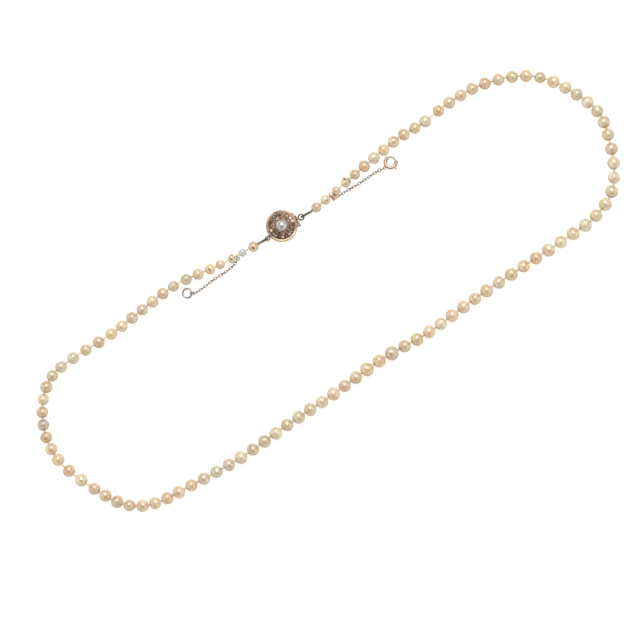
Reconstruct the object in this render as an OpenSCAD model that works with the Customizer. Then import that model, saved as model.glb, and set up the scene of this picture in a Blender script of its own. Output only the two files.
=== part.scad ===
// Single strand pearl necklace, laid flat as one closed loop.
// Millimetres, +Z up. The pearls rest on z = 0 and the origin is the middle of the loop's outline.
// A round jewelled box clasp closes the strand, and two short chains hang beside it.

/* [Strand] */
// Diameter of the hole drilled through each pearl
bore_d = 0.68; // [0.66:0.02:0.72]
// Thickness of the thread
thread_d = 0.32; // [0.24:0.02:0.32]
// Width of the knots between the pearls
knot_d = 0.9; // [0.7:0.05:1]
// How far a pearl strays from its row's diameter, as a share of it
size_spread = 0.025; // [0:0.005:0.03]

/* [Clasp] */
// Outer diameter of the clasp's drum
clasp_d = 11.3; // [11.2:0.1:11.4]
// Height of the drum's rim
clasp_h = 3.4; // [3.4:0.1:3.8]
// Diameter of the plate that carries the stones
setting_d = 9.8; // [9.7:0.1:9.9]
// Diameter of the pearl in the middle of the clasp
clasp_pearl_d = 4.3; // [4.1:0.1:4.3]
// Stones in the outer ring
outer_stones = 20; // [18:1:20]
// Stones in the inner ring
inner_stones = 16; // [14:1:16]
// Diameter of an outer stone
outer_stone_d = 1.06; // [1:0.02:1.06]
// Diameter of an inner stone
inner_stone_d = 0.88; // [0.8:0.02:0.88]

/* [Safety chains] */
// Wire of a chain link
link_wire = 0.24; // [0.2:0.02:0.24]
// Inner length of a chain link
link_inner_l = 1.24; // [1.2:0.02:1.26]
// Inner width of a chain link
link_inner_w = 0.58; // [0.58:0.02:0.62]
// Clear space left where one link holds the next
link_play = 0.12; // [0.12:0.01:0.13]
// Links of the left chain
left_links = 18; // [14:2:18]
// Links of the right chain
right_links = 15; // [11:2:17]

/* [Bolt ring] */
// Radius from the ring's centre to the middle of its tube
bolt_ring_r = 1.95; // [1.9:0.05:2]
// Outer diameter of the tube
bolt_tube_d = 1.2; // [1.16:0.02:1.24]
// Diameter of the bolt that slides in the tube
bolt_d = 0.6; // [0.5:0.02:0.6]

/* [Hidden] */
$fn = 48;

GOLD = [0.80, 0.58, 0.42];
ROSE_GOLD = [0.74, 0.50, 0.37];
SILVER = [0.62, 0.58, 0.55];
PEARL = [0.93, 0.85, 0.70];
SILK = [0.72, 0.64, 0.48];
GIMP = [0.42, 0.38, 0.30];
STONE = [0.85, 0.84, 0.86];

// The way the strand lies, from the clasp's left ring round to its right ring, x then y
ROUTE = [
    [-19, 29.5], [-24, 26.5], [-36, 20], [-44, 16.5], [-52.5, 12.5], [-63, 4.5], [-75, -5],
    [-88.5, -13.5], [-96.5, -20], [-99.5, -28.5], [-99.5, -37.5], [-97, -45.5], [-91, -53.5],
    [-77, -63], [-69, -66.5], [-59.5, -66], [-46.5, -59.5], [-28.5, -49.5], [-11.5, -37.5],
    [5, -26.5], [21.5, -14.5], [39, -4.5], [55.5, 7.5], [73.5, 19.5], [91, 31], [99.5, 37.5],
    [105.5, 46.5], [106, 57], [104, 67], [100.5, 75.5], [89, 84], [79, 88], [69, 88],
    [55.5, 84], [43, 76], [38, 71.5], [30, 67], [20, 59], [9, 49.5], [-1.5, 40.5], [-6.5, 37]
];

// Runs of like pearls in their order on the thread
COUNT = 0;
DIAMETER = 1;
PITCH = 2;
STRAND = [
    // count, diameter, distance from one centre to the next
    [1, 3.6, 4.4],
    [1, 2.8, 4.6],
    [1, 3.1, 4.5],
    [1, 3.3, 4.1],
    [1, 3.7, 4.6],
    [1, 4.05, 4.7],
    [1, 3.95, 5.2],
    [6, 4.1, 4.7],
    [4, 4.15, 5.4],
    [8, 4.2, 4.6],
    [3, 4.4, 5.6],
    [7, 4.33, 4.7],
    [7, 4.4, 5.1],
    [9, 4.5, 5],
    [3, 4.85, 5.3],
    [7, 4.5, 5.1],
    [8, 4.52, 5.35],
    [7, 4.57, 5.25],
    [6, 4.36, 4.8],
    [5, 4.32, 5.1],
    [4, 4.24, 4.9],
    [1, 4.24, 6.1],
    [6, 4.15, 4.6],
    [1, 4.0, 4.5],
    [1, 3.7, 4.3],
    [1, 3.6, 4.6],
    [1, 3.3, 5.1],
    [1, 3.5, 4.3],
    [1, 3.6, 4.3]
];
// Distance along the route from the left ring to the first pearl's centre
FIRST_PEARL = 5.9;

// Smooth curves through points, and places along them

function spline_point(p, i, t) =
    let (last = len(p) - 1)
    let (a = p[max(i - 1, 0)], b = p[i], c = p[i + 1], d = p[min(i + 2, last)])
    let (v1 = c - a, v2 = 2 * a - 5 * b + 4 * c - d, v3 = 3 * b - a - 3 * c + d)
    0.5 * (2 * b + v1 * t + v2 * pow(t, 2) + v3 * pow(t, 3));

function spline(p, steps) = concat(
    [for (i = [0 : len(p) - 2], k = [0 : steps - 1]) spline_point(p, i, k / steps)],
    [p[len(p) - 1]]
);

function running_sum(v) = [for (i = 0, s = 0; i < len(v); s = s + v[i], i = i + 1) s];

// Distance along p at which each of its points lies
function lengths(p) = running_sum([for (i = [0 : len(p) - 1]) norm(p[min(i + 1, len(p) - 1)] - p[i])]);

// One table of coordinate against distance for each axis
function along(p, s) = [for (axis = [0 : len(p[0]) - 1]) [for (i = [0 : len(p) - 1]) [s[i], p[i][axis]]]];

function place(tables, s) = [for (table = tables) lookup(s, table)];

function unit(v) = v / norm(v);

// Strand

strand_curve = spline(ROUTE, 8);
strand_tables = along(strand_curve, lengths(strand_curve));

pearl_rows = [for (row = STRAND, k = [1 : row[COUNT]]) row];
pearl_count = len(pearl_rows);
pearl_starts = running_sum([for (row = pearl_rows) row[PITCH]]);

function pearl_r(i) = pearl_rows[i][DIAMETER] / 2 * (1 + size_spread * sin(137.5 * i));

// A knot lies in the middle of the gap before each pearl, and one more after the last
END_GAP = 1.1;
function gap_before(i) =
    i == 0 || i == pearl_count
        ? END_GAP
        : pearl_starts[i] - pearl_starts[i - 1] - pearl_r(i - 1) - pearl_r(i);

function knot_s(i) = i < pearl_count
    ? FIRST_PEARL + pearl_starts[i] - pearl_r(i) - gap_before(i) / 2
    : FIRST_PEARL + pearl_starts[i - 1] + pearl_r(i - 1) + END_GAP / 2;

function knot_z(i) =
    (pearl_r(max(i - 1, 0)) + pearl_r(min(i, pearl_count - 1))) / 2;

KNOTS = [
    for (i = [0 : pearl_count])
    let (p = place(strand_tables, knot_s(i)))
    [p.x, p.y, knot_z(i)]
];

function pearl_share(i) =
    (gap_before(i) / 2 + pearl_r(i)) / (gap_before(i) / 2 + 2 * pearl_r(i) + gap_before(i + 1) / 2);

PEARLS = [
    for (i = [0 : pearl_count - 1])
    let (p = KNOTS[i] + (KNOTS[i + 1] - KNOTS[i]) * pearl_share(i))
    [p.x, p.y, max(p.z, pearl_r(i))]
];

function reach(axis, side) = [for (i = [0 : pearl_count - 1]) PEARLS[i][axis] + side * pearl_r(i)];

ORIGIN = [
    (min(reach(0, -1)) + max(reach(0, 1))) / 2,
    (min(reach(1, -1)) + max(reach(1, 1))) / 2,
    0
];

// Turns +X of its children to run from a to b, rolled about that line
module from_to(a, b, roll = 0) {
    d = b - a;
    translate(a)
    rotate([roll, -atan2(d.z, norm([d.x, d.y])), atan2(d.y, d.x)])
    children();
}

module drilled_pearl(i) {
    r = pearl_r(i);
    direction = unit(KNOTS[i + 1] - KNOTS[i]);
    from_to(PEARLS[i], PEARLS[i] + direction)
    rotate([0, 90, 0])
    difference() {
        sphere(r);
        cylinder(d = bore_d, h = 3 * r, center = true);
    }
}

module pearls(first, last) {
    color(PEARL)
    for (i = [first : last]) drilled_pearl(i);
}

// Thread: one tube of six sides that swells at every knot

THREAD_SIDES = 6;

KNOT_HALF = 0.32;
KNOT_PLAY = 0.1;
function knot_half(i) = min(KNOT_HALF, gap_before(i) / 2 - KNOT_PLAY);

// The knot beside the thread ring is pushed back against its pearl to leave the ring room
THREAD_RING_KNOT = 2;
PUSHED_BACK = 0.45;
function knot_shift(i) = i == THREAD_RING_KNOT ? -PUSHED_BACK : 0;

function knot_direction(i) = unit(KNOTS[min(i + 1, pearl_count)] - KNOTS[max(i - 1, 0)]);

// Where the tube's rings stand on a knot, as shares of its half length, and how wide each is
RING_SHIFT = 0;
RING_WIDTH = 1;
KNOT_RINGS = [[-1, thread_d], [-0.5, knot_d], [0.5, knot_d], [1, thread_d]];

function ring_points(centre, direction, radius) =
    let (u = unit([-direction.y, direction.x, 0]), v = cross(direction, u))
    [
        for (k = [0 : THREAD_SIDES - 1])
        let (a = 360 * k / THREAD_SIDES)
        centre + radius * (cos(a) * u + sin(a) * v)
    ];

module thread() {
    rings = [
        for (i = [0 : pearl_count], ring = KNOT_RINGS)
        let (way = knot_direction(i), s = knot_shift(i) + ring[RING_SHIFT] * knot_half(i))
        ring_points(KNOTS[i] + s * way, way, ring[RING_WIDTH] / 2)
    ];
    last = len(rings) - 1;
    points = [for (ring = rings, p = ring) p];
    sides = [
        for (i = [0 : last - 1], k = [0 : THREAD_SIDES - 1])
        let (this = i * THREAD_SIDES, far = this + THREAD_SIDES, next = (k + 1) % THREAD_SIDES)
        [this + k, far + k, far + next, this + next]
    ];
    first_cap = [for (k = [0 : THREAD_SIDES - 1]) k];
    last_cap = [for (k = [THREAD_SIDES - 1 : -1 : 0]) last * THREAD_SIDES + k];
    color(SILK) polyhedron(points, concat([first_cap], sides, [last_cap]));
}

// Rings and links

module round_ring(inner_d, wire) {
    rotate_extrude() translate([(inner_d + wire) / 2, 0]) circle(d = wire);
}

module oval_link(inner_l, inner_w, wire) {
    r = (inner_w + wire) / 2;
    straight = inner_l - inner_w;
    for (end = [-1, 1])
        translate([end * straight / 2, 0, 0])
        rotate([0, 0, -90 * end])
        rotate_extrude(angle = 180) translate([r, 0]) circle(d = wire);
    for (side = [-1, 1])
        translate([-straight / 2, side * r, 0])
        rotate([0, 90, 0]) cylinder(d = wire, h = straight);
}

// Clasp, drawn round its own centre with the tongue towards +X

CLASP_AT = [-13.8, 33.9];
CLASP_TURN = 25;
LOOP_Z = 1.85;
WALL = 0.45;
FLOOR = 0.5;
CAVITY_R = 4.6;
CAVITY_TOP = 2.4;
SEAT_GAP = 0.08;
MOUTH_X = 5.65;
MOUTH_HALF_W = 2.7;
MOUTH_Z = [0.55, 2.75];
TONGUE_HALF_W = 1.7;
TONGUE_Z = [0.95, 2.1];
TONGUE_PLAY = 0.12;
LEFT_RING_TURN = 196;
LEFT_RING_AT = 6.85;
LEFT_RING_INNER = 1.12;
LEFT_RING_WIRE = 0.46;
RIGHT_RING_AT = 7.65;
RIGHT_RING_INNER = 1.52;
RIGHT_RING_WIRE = 0.5;
END_PLATE = [0.5, 3.4, 2.2];
PLATE_SHIFT = 0.4;
STUD_D = 0.6;
STUD_REACH = 0.7;

module at_clasp() {
    translate([CLASP_AT.x, CLASP_AT.y, 0]) rotate([0, 0, CLASP_TURN]) children();
}

module drum_profile() {
    r = clasp_d / 2;
    foot = 1.5;
    edge = 0.3;
    difference() {
        union() {
            square([r - foot, clasp_h]);
            translate([r - foot, foot]) circle(r = foot);
            translate([0, foot]) square([r, clasp_h - foot - edge]);
            translate([0, clasp_h - 2 * edge]) square([r - edge, 2 * edge]);
            translate([r - edge, clasp_h - edge]) circle(r = edge);
        }
        translate([0, FLOOR]) square([CAVITY_R, CAVITY_TOP - FLOOR]);
        translate([0, CAVITY_TOP - 0.01]) square([setting_d / 2 + SEAT_GAP, clasp_h]);
        translate([-clasp_d, -clasp_d]) square([clasp_d, 3 * clasp_d]);
    }
}

module mouth_frame() {
    translate([MOUTH_X - 1.6, -MOUTH_HALF_W, MOUTH_Z[0]])
    cube([1.6, 2 * MOUTH_HALF_W, MOUTH_Z[1] - MOUTH_Z[0]]);
}

module clasp_box() {
    slot_w = 2 * (TONGUE_HALF_W + TONGUE_PLAY);
    slot_h = TONGUE_Z[1] - TONGUE_Z[0] + 2 * TONGUE_PLAY;
    color(ROSE_GOLD)
    at_clasp() {
        difference() {
            union() {
                rotate_extrude() drum_profile();
                difference() {
                    mouth_frame();
                    cylinder(r = setting_d / 2 + SEAT_GAP, h = clasp_h);
                }
            }
            translate([CAVITY_R - 0.5, -slot_w / 2, TONGUE_Z[0] - TONGUE_PLAY])
                cube([3, slot_w, slot_h]);
        }
        rotate([0, 0, LEFT_RING_TURN]) {
            translate([LEFT_RING_AT, 0, LOOP_Z]) round_ring(LEFT_RING_INNER, LEFT_RING_WIRE);
            translate([clasp_d / 2 - 0.2, -0.55, LOOP_Z - 0.35]) cube([0.5, 1.1, 0.7]);
        }
    }
}

module tongue_outline() {
    leaf = 0.28;
    back = -2.4;
    front = 5.9;
    low = TONGUE_Z[0];
    high = TONGUE_Z[1];
    polygon([
        [front, low], [front, low + leaf], [back + 0.5, low + leaf], [back + 0.5, low + 1.6 * leaf],
        [3.6, high - leaf], [3.6, high], [back, low + 2.6 * leaf], [back, low]
    ]);
}

module clasp_tongue() {
    plate_x = MOUTH_X + TONGUE_PLAY;
    lug = 0.6;
    color(GOLD)
    at_clasp() {
        translate([0, TONGUE_HALF_W, 0])
            rotate([90, 0, 0])
            linear_extrude(2 * TONGUE_HALF_W)
            tongue_outline();
        translate([plate_x, -END_PLATE.y / 2 - PLATE_SHIFT, LOOP_Z - END_PLATE.z / 2]) cube(END_PLATE);
        translate([plate_x + END_PLATE.x - 0.1, -lug / 2, LOOP_Z - lug / 2]) cube([0.45, lug, lug]);
        translate([RIGHT_RING_AT, 0, LOOP_Z]) round_ring(RIGHT_RING_INNER, RIGHT_RING_WIRE);
        translate([plate_x + 0.3, -END_PLATE.y / 2 - PLATE_SHIFT + 0.1, LOOP_Z + 0.4]) {
            rotate([90, 0, 0]) cylinder(d = STUD_D * 0.6, h = STUD_REACH);
            translate([0, -STUD_REACH, 0]) sphere(d = STUD_D);
        }
    }
}

// Setting: a low cone with a seat for every stone and a collar round the pearl

SETTING_EDGE_Z = 3.3;
SETTING_RISE = 0.65;
COLLAR_R = 2.42;
PEARL_FLOOR = 2.95;
PEARL_Z = 4.05;
OUTER_ROW_R = 4.18;
INNER_ROW_R = 2.98;
SEAT_DEPTH = 0.32;
SEAT_PLAY = 0.18;
OUTER_GRAIN_D = 0.34;
INNER_GRAIN_D = 0.24;
COLLAR_H = 0.2;

function setting_slope() = SETTING_RISE / (setting_d / 2 - COLLAR_R);

function setting_z(r) = SETTING_EDGE_Z + (setting_d / 2 - r) * setting_slope();

// Puts its children on the cone at each of count places, their +Z square to the surface
module on_setting(r, count, phase = 0) {
    for (k = [0 : count - 1])
        rotate([0, 0, 360 * (k + phase) / count])
        translate([r, 0, setting_z(r)])
        rotate([0, atan(setting_slope()), 0])
        children();
}

module setting_blank() {
    foot_z = CAVITY_TOP + SEAT_GAP;
    collar_z = SETTING_EDGE_Z + SETTING_RISE;
    rotate_extrude()
    difference() {
        polygon([
            [0, foot_z], [setting_d / 2, foot_z], [setting_d / 2, SETTING_EDGE_Z],
            [COLLAR_R, collar_z], [COLLAR_R, collar_z + COLLAR_H], [0, collar_z + COLLAR_H]
        ]);
        translate([0, PEARL_FLOOR]) square([clasp_pearl_d / 2 + SEAT_GAP, clasp_h]);
    }
}

module clasp_setting() {
    color(SILVER)
    at_clasp() {
        difference() {
            setting_blank();
            on_setting(OUTER_ROW_R, outer_stones)
                translate([0, 0, -SEAT_DEPTH]) cylinder(d = outer_stone_d + SEAT_PLAY, h = 1);
            on_setting(INNER_ROW_R, inner_stones, 0.5)
                translate([0, 0, -SEAT_DEPTH]) cylinder(d = inner_stone_d + SEAT_PLAY, h = 1);
        }
        on_setting(OUTER_ROW_R + 0.44, outer_stones, 0.5) sphere(d = OUTER_GRAIN_D);
        on_setting(OUTER_ROW_R - 0.5, outer_stones, 0.5) sphere(d = INNER_GRAIN_D);
    }
}

module clasp_pearl() {
    floor_z = PEARL_FLOOR + SEAT_GAP;
    color([0.88, 0.86, 0.87])
    at_clasp()
    intersection() {
        translate([0, 0, PEARL_Z]) sphere(d = clasp_pearl_d);
        translate([0, 0, floor_z]) cylinder(d = 2 * clasp_pearl_d, h = clasp_pearl_d);
    }
}

// A low stone: eight-sided girdle, eight kites, eight stars and a table
STONE_SIDES = 8;
RING_R = 0;
RING_Z = 1;
RING_TURN = 2;
STONE_RINGS = [
    // share of the radius, height as a share of the diameter, turn in half facets
    [0.94, -0.2, 0],
    [1, -0.1, 0],
    [0.74, 0.12, 1],
    [0.36, 0.24, 0]
];

module cut_stone(d) {
    points = [
        for (ring = STONE_RINGS, k = [0 : STONE_SIDES - 1])
        let (a = 360 * (k + ring[RING_TURN] / 2) / STONE_SIDES, r = ring[RING_R] * d / 2)
        [r * cos(a), r * sin(a), ring[RING_Z] * d]
    ];
    function at(ring, k) = ring * STONE_SIDES + (k + STONE_SIDES) % STONE_SIDES;
    steps = [0 : STONE_SIDES - 1];
    girdle = [for (k = steps) [at(0, k), at(1, k), at(1, k + 1), at(0, k + 1)]];
    kites = [for (k = steps) each [
        [at(1, k), at(2, k), at(1, k + 1)],
        [at(1, k + 1), at(2, k), at(2, k + 1)]
    ]];
    stars = [for (k = steps) each [
        [at(2, k), at(3, k + 1), at(2, k + 1)],
        [at(3, k), at(3, k + 1), at(2, k)]
    ]];
    back = [for (k = steps) at(0, k)];
    table = [for (k = [STONE_SIDES - 1 : -1 : 0]) at(3, k)];
    polyhedron(points, concat([back], girdle, kites, stars, [table]));
}

module clasp_stones_outer() {
    color(STONE) at_clasp() on_setting(OUTER_ROW_R, outer_stones) cut_stone(outer_stone_d);
}

module clasp_stones_inner() {
    color(STONE) at_clasp() on_setting(INNER_ROW_R, inner_stones, 0.5) cut_stone(inner_stone_d);
}

// Gimp: a narrow upright loop of sleeved wire through a clasp ring, its legs closing on a knot

function clasp_point(turn, r) =
    [CLASP_AT.x + r * cos(CLASP_TURN + turn), CLASP_AT.y + r * sin(CLASP_TURN + turn), LOOP_Z];

LEFT_RING = clasp_point(LEFT_RING_TURN, LEFT_RING_AT);
RIGHT_RING = clasp_point(0, RIGHT_RING_AT);

GIMP_D = 0.88;
GIMP_SHOULDER_D = 0.92;
GIMP_PLAY = 0.13;

module gimp(ring, knot, ring_inner, ring_wire) {
    towards = unit([knot.x - ring.x, knot.y - ring.y, 0]);
    wire_at = ring + towards * (ring_inner + ring_wire) / 2;
    bend = ring_wire / 2 + GIMP_PLAY + GIMP_D / 2;
    close = 14;
    reach = norm([knot.x - wire_at.x, knot.y - wire_at.y]) - 0.55;
    leg = (reach - bend * sin(close)) / cos(close);
    from_to(wire_at, wire_at + towards, 90) {
        rotate([0, 0, 90 - close])
            rotate_extrude(angle = 180 + 2 * close)
            translate([bend, 0])
            circle(d = GIMP_D);
        for (side = [-1, 1])
            rotate([0, 0, side * (90 - close)])
            translate([bend, 0, 0]) {
                sphere(d = GIMP_SHOULDER_D);
                rotate([90 * side, 0, 0]) cylinder(d = GIMP_D, h = leg);
            }
    }
}

module gimp_left() {
    color(GIMP) gimp(LEFT_RING, KNOTS[0], LEFT_RING_INNER, LEFT_RING_WIRE);
}

module gimp_right() {
    color(GIMP) gimp(RIGHT_RING, KNOTS[pearl_count], RIGHT_RING_INNER, RIGHT_RING_WIRE);
}

// Safety chains. Each link stands on the middle of its own stretch of the chain's curve

CHAIN_Z = 0.6;
FLAT = 0;
UPRIGHT = 90;
ROLL_SPREAD = 12;

// Distance between the centres of two links that hold each other
function hold(inner_a, inner_b) = (inner_a + inner_b) / 2 - link_play;

// Where the wire of the next ring passes through the far end of a link, the two leaning on each other
LEAN_PLAY = 0.18;
function wire_through(centre, way, inner_l, next_wire) =
    centre + (inner_l / 2 - LEAN_PLAY - next_wire / 2) * way;

function link_pitch() = link_inner_l - link_play;

// The two ends of a link's stretch of the curve
function link_ends(tables, start, i) = [
    for (side = [-0.5, 0.5]) place(tables, start + (i + side) * link_pitch())
];

// The last links turn a little further each, up to the twist
TWISTED_LINKS = 5;
function twist_share(i, links) = max(0, i - (links - 1 - TWISTED_LINKS)) / TWISTED_LINKS;

module chain(tables, start, links, twist = 0) {
    for (i = [0 : links - 1]) {
        ends = link_ends(tables, start, i);
        middle = (ends[0] + ends[1]) / 2;
        roll = (i % 2 == 0 ? UPRIGHT : FLAT) + ROLL_SPREAD * sin(77 * i) + twist * twist_share(i, links);
        from_to(middle, middle + unit(ends[1] - ends[0]), roll)
            oval_link(link_inner_l, link_inner_w, link_wire);
    }
}

// Left chain: from a ring round the thread between the second and third pearl to the jump ring

THREAD_RING_INNER = 1.06;
HOOK_RING_INNER = 0.94;
SMALL_WIRE = 0.28;
END_RING_INNER = 1.3;
END_RING_WIRE = 0.3;
JUMP_RING_INNER = 2.8;
JUMP_RING_WIRE = 0.54;

THREAD_RING_SHIFT = 0.25;
THREAD_RING_HANG = 0.24;
THREAD_WAY = unit(KNOTS[THREAD_RING_KNOT + 1] - KNOTS[THREAD_RING_KNOT - 1]);
CHAIN_SIDE = unit([-THREAD_WAY.y, THREAD_WAY.x, 0]);
HOOK_WAY = unit(CHAIN_SIDE - [0, 0, 0.3]);
THREAD_RING_AT = KNOTS[THREAD_RING_KNOT] + THREAD_RING_SHIFT * THREAD_WAY + THREAD_RING_HANG * HOOK_WAY;
HOOK_RING_AT = THREAD_RING_AT + hold(THREAD_RING_INNER, HOOK_RING_INNER) * HOOK_WAY;

LEFT_WAY = [
    HOOK_RING_AT, [-31, 20, 0.8], [-33.8, 17.6, CHAIN_Z], [-37.7, 15.1, CHAIN_Z],
    [-41.3, 12.4, CHAIN_Z], [-43.1, 11, CHAIN_Z], [-45, 9.8, 0.86], [-47, 9.1, 0.9]
];
left_curve = spline(LEFT_WAY, 8);
left_tables = along(left_curve, lengths(left_curve));
left_start = hold(HOOK_RING_INNER, link_inner_l);

END_RING_WAY = [-1, 0, 0];
END_RING_ROLL = 50;
LEFT_TWIST = -20;
END_RING_R = (END_RING_INNER + END_RING_WIRE) / 2;
left_last = link_ends(left_tables, left_start, left_links - 1);
left_last_wire = wire_through(
    (left_last[0] + left_last[1]) / 2, unit(left_last[1] - left_last[0]), link_inner_l, END_RING_WIRE
);
END_RING_LEFT_AT = left_last_wire + END_RING_R * END_RING_WAY;

// The jump ring leans from the end ring down to the surface
JUMP_RING_R = (JUMP_RING_INNER + JUMP_RING_WIRE) / 2;
jump_wire = wire_through(END_RING_LEFT_AT, END_RING_WAY, END_RING_INNER, JUMP_RING_WIRE);
jump_drop = asin((jump_wire.z - JUMP_RING_WIRE / 2) / (2 * JUMP_RING_R));
JUMP_RING_AT = jump_wire + JUMP_RING_R * [-cos(jump_drop), 0, -sin(jump_drop)];

module thread_ring() {
    color(ROSE_GOLD)
    from_to(THREAD_RING_AT, THREAD_RING_AT + THREAD_WAY)
    rotate([0, 90, 0])
    round_ring(THREAD_RING_INNER, SMALL_WIRE);
}

module hook_ring() {
    color(ROSE_GOLD)
    from_to(HOOK_RING_AT, HOOK_RING_AT + HOOK_WAY) round_ring(HOOK_RING_INNER, SMALL_WIRE);
}

module chain_left() {
    color(ROSE_GOLD) chain(left_tables, left_start, left_links, LEFT_TWIST);
}

module end_ring_left() {
    color(GOLD)
    from_to(END_RING_LEFT_AT, END_RING_LEFT_AT + END_RING_WAY, END_RING_ROLL)
    round_ring(END_RING_INNER, END_RING_WIRE);
}

module jump_ring() {
    color(GOLD)
    from_to(JUMP_RING_AT, jump_wire) round_ring(JUMP_RING_INNER, JUMP_RING_WIRE);
}

// Right chain: from a gold band round the thread, two pearls from its end, to the bolt ring

BAIL_L = 3.2;
BAIL_H = 1.7;
// How far the band reaches along the thread, each way from the knot that it hides
BAIL_BACK = 0.5;
BAIL_FRONT = 1.6;
// Its front is cut back where it passes the pearl: distance from the thread, then along it
BAIL_NECK = [[0.3, 0.65], [1.5, 1.5]];
BAIL_WALL = 0.28;
BAIL_DROOP = 25;
BAIL_EYE_INNER = 0.6;
BAIL_EYE_WIRE = 0.24;
BAND_KNOT = pearl_count - 2;
BAND_AT = KNOTS[BAND_KNOT];
BAND_WAY = unit(KNOTS[BAND_KNOT - 1] - KNOTS[BAND_KNOT + 1]);
BAND_SIDE = unit([BAND_WAY.y, -BAND_WAY.x, 0]);
BAIL_END = (BAIL_L - BAIL_H) / 2 + (BAIL_L - BAIL_WALL) / 2;
BAIL_EYE_REACH = BAIL_FRONT + (BAIL_EYE_INNER + BAIL_EYE_WIRE) / 2;
BAIL_WAY = cos(BAIL_DROOP) * BAND_SIDE - [0, 0, sin(BAIL_DROOP)];
BAIL_EYE = BAND_AT + BAIL_END * BAIL_WAY + BAIL_EYE_REACH * BAND_WAY;

RIGHT_WAY = [
    BAIL_EYE, [9.4, 46.6, CHAIN_Z], [12.4, 48.4, CHAIN_Z], [16.1, 50.7, CHAIN_Z],
    [20, 53.4, CHAIN_Z], [22.1, 54.5, CHAIN_Z], [24.5, 55.6, CHAIN_Z]
];
END_RING_RIGHT_INNER = 0.96;
BOLT_LINK_INNER_L = 1.5;
BOLT_LINK_INNER_W = 0.68;
BOLT_LINK_TURN = 25;
BOLT_LINK_WAY = [cos(BOLT_LINK_TURN), sin(BOLT_LINK_TURN), 0];
right_curve = spline(RIGHT_WAY, 8);
right_tables = along(right_curve, lengths(right_curve));
right_start = hold(BAIL_EYE_INNER, link_inner_l);
right_end_hold = hold(link_inner_l, END_RING_RIGHT_INNER);
right_end_s = right_start + (right_links - 1) * link_pitch() + right_end_hold;
END_RING_RIGHT_AT = place(right_tables, right_end_s);
BOLT_LINK_AT = END_RING_RIGHT_AT + hold(END_RING_RIGHT_INNER, BOLT_LINK_INNER_L) * BOLT_LINK_WAY;

module stadium(l, h) {
    square([l - h, h], center = true);
    for (end = [-1, 1]) translate([end * (l - h) / 2, 0]) circle(d = h);
}

module chain_bail() {
    color(GOLD) {
        from_to(BAND_AT, BAND_AT + BAND_SIDE)
            rotate([0, BAIL_DROOP, 0])
            intersection() {
                rotate([90, 0, 0])
                    translate([(BAIL_L - BAIL_H) / 2, 0, -BAIL_FRONT])
                    linear_extrude(BAIL_FRONT + BAIL_BACK)
                    difference() {
                        stadium(BAIL_L, BAIL_H);
                        stadium(BAIL_L - 2 * BAIL_WALL, BAIL_H - 2 * BAIL_WALL);
                    }
                linear_extrude(2 * BAIL_H, center = true)
                    polygon(concat(
                        [[-BAIL_L, BAIL_NECK[0].y]], BAIL_NECK,
                        [[BAIL_L, BAIL_FRONT], [BAIL_L, -BAIL_BACK], [-BAIL_L, -BAIL_BACK]]
                    ));
            }
        translate(BAIL_EYE) round_ring(BAIL_EYE_INNER, BAIL_EYE_WIRE);
    }
}

module chain_right() {
    color(ROSE_GOLD) chain(right_tables, right_start, right_links);
}

module end_ring_right() {
    color(GOLD) translate(END_RING_RIGHT_AT) round_ring(END_RING_RIGHT_INNER, SMALL_WIRE);
}

module bolt_ring_link() {
    color(GOLD)
    from_to(BOLT_LINK_AT, BOLT_LINK_AT + BOLT_LINK_WAY, UPRIGHT)
    oval_link(BOLT_LINK_INNER_L, BOLT_LINK_INNER_W, link_wire);
}

// Bolt ring: a bent tube, open at the top right, closed by a bolt that slides inside it.
// Turns are counted from +X. The bolt turns clockwise about the ring's axis as the trigger is pushed.

EYE_TURN = 223;
EYE_INNER = 0.62;
EYE_WIRE = 0.34;
EYE_AT = bolt_ring_r + bolt_tube_d / 2 + EYE_INNER / 2 + 0.08;
EYE = BOLT_LINK_AT + hold(BOLT_LINK_INNER_L, EYE_INNER) * BOLT_LINK_WAY;
BOLT_RING_AT = EYE - EYE_AT * [cos(EYE_TURN), sin(EYE_TURN), 0];
TUBE_FROM = 120;
TUBE_TO = 377;
BOLT_PLAY = 0.11;
TRIGGER_TURN = -49;
TRIGGER_D = 0.46;
TRIGGER_REACH = 0.38;
TRIGGER_TRAVEL = 65;
SLOT_END = 9;
BOLT_TIP = 131;
BOLT_TAIL = -57;

module bent_rod(from, to) {
    rotate([0, 0, from]) rotate_extrude(angle = to - from) translate([bolt_ring_r, 0]) children();
}

module bolt_ring_case() {
    slot_from = TRIGGER_TURN - TRIGGER_TRAVEL - SLOT_END;
    slot_to = TRIGGER_TURN + SLOT_END;
    slot_h = TRIGGER_D + 2 * BOLT_PLAY;
    color(ROSE_GOLD)
    translate(BOLT_RING_AT) {
        difference() {
            bent_rod(TUBE_FROM, TUBE_TO) circle(d = bolt_tube_d);
            bent_rod(TUBE_FROM - 2, TUBE_TO + 2) circle(d = bolt_d + 2 * BOLT_PLAY);
            bent_rod(slot_from, slot_to) translate([0, -slot_h / 2]) square([bolt_tube_d, slot_h]);
        }
        difference() {
            rotate([0, 0, EYE_TURN]) translate([EYE_AT, 0, 0]) round_ring(EYE_INNER, EYE_WIRE);
            cylinder(r = bolt_ring_r + bolt_d / 2 + BOLT_PLAY + 0.05, h = bolt_tube_d, center = true);
        }
    }
}

module bolt_ring_bolt() {
    color([0.70, 0.68, 0.56])
    translate(BOLT_RING_AT) {
        bent_rod(BOLT_TAIL, BOLT_TIP) circle(d = bolt_d);
        rotate([0, 0, TRIGGER_TURN]) {
            rotate([0, 90, 0])
                translate([0, 0, bolt_ring_r])
                cylinder(d = TRIGGER_D, h = bolt_tube_d / 2 + TRIGGER_REACH);
            translate([bolt_ring_r + bolt_tube_d / 2 + TRIGGER_REACH, 0, 0]) sphere(d = TRIGGER_D + 0.12);
        }
    }
}

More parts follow.
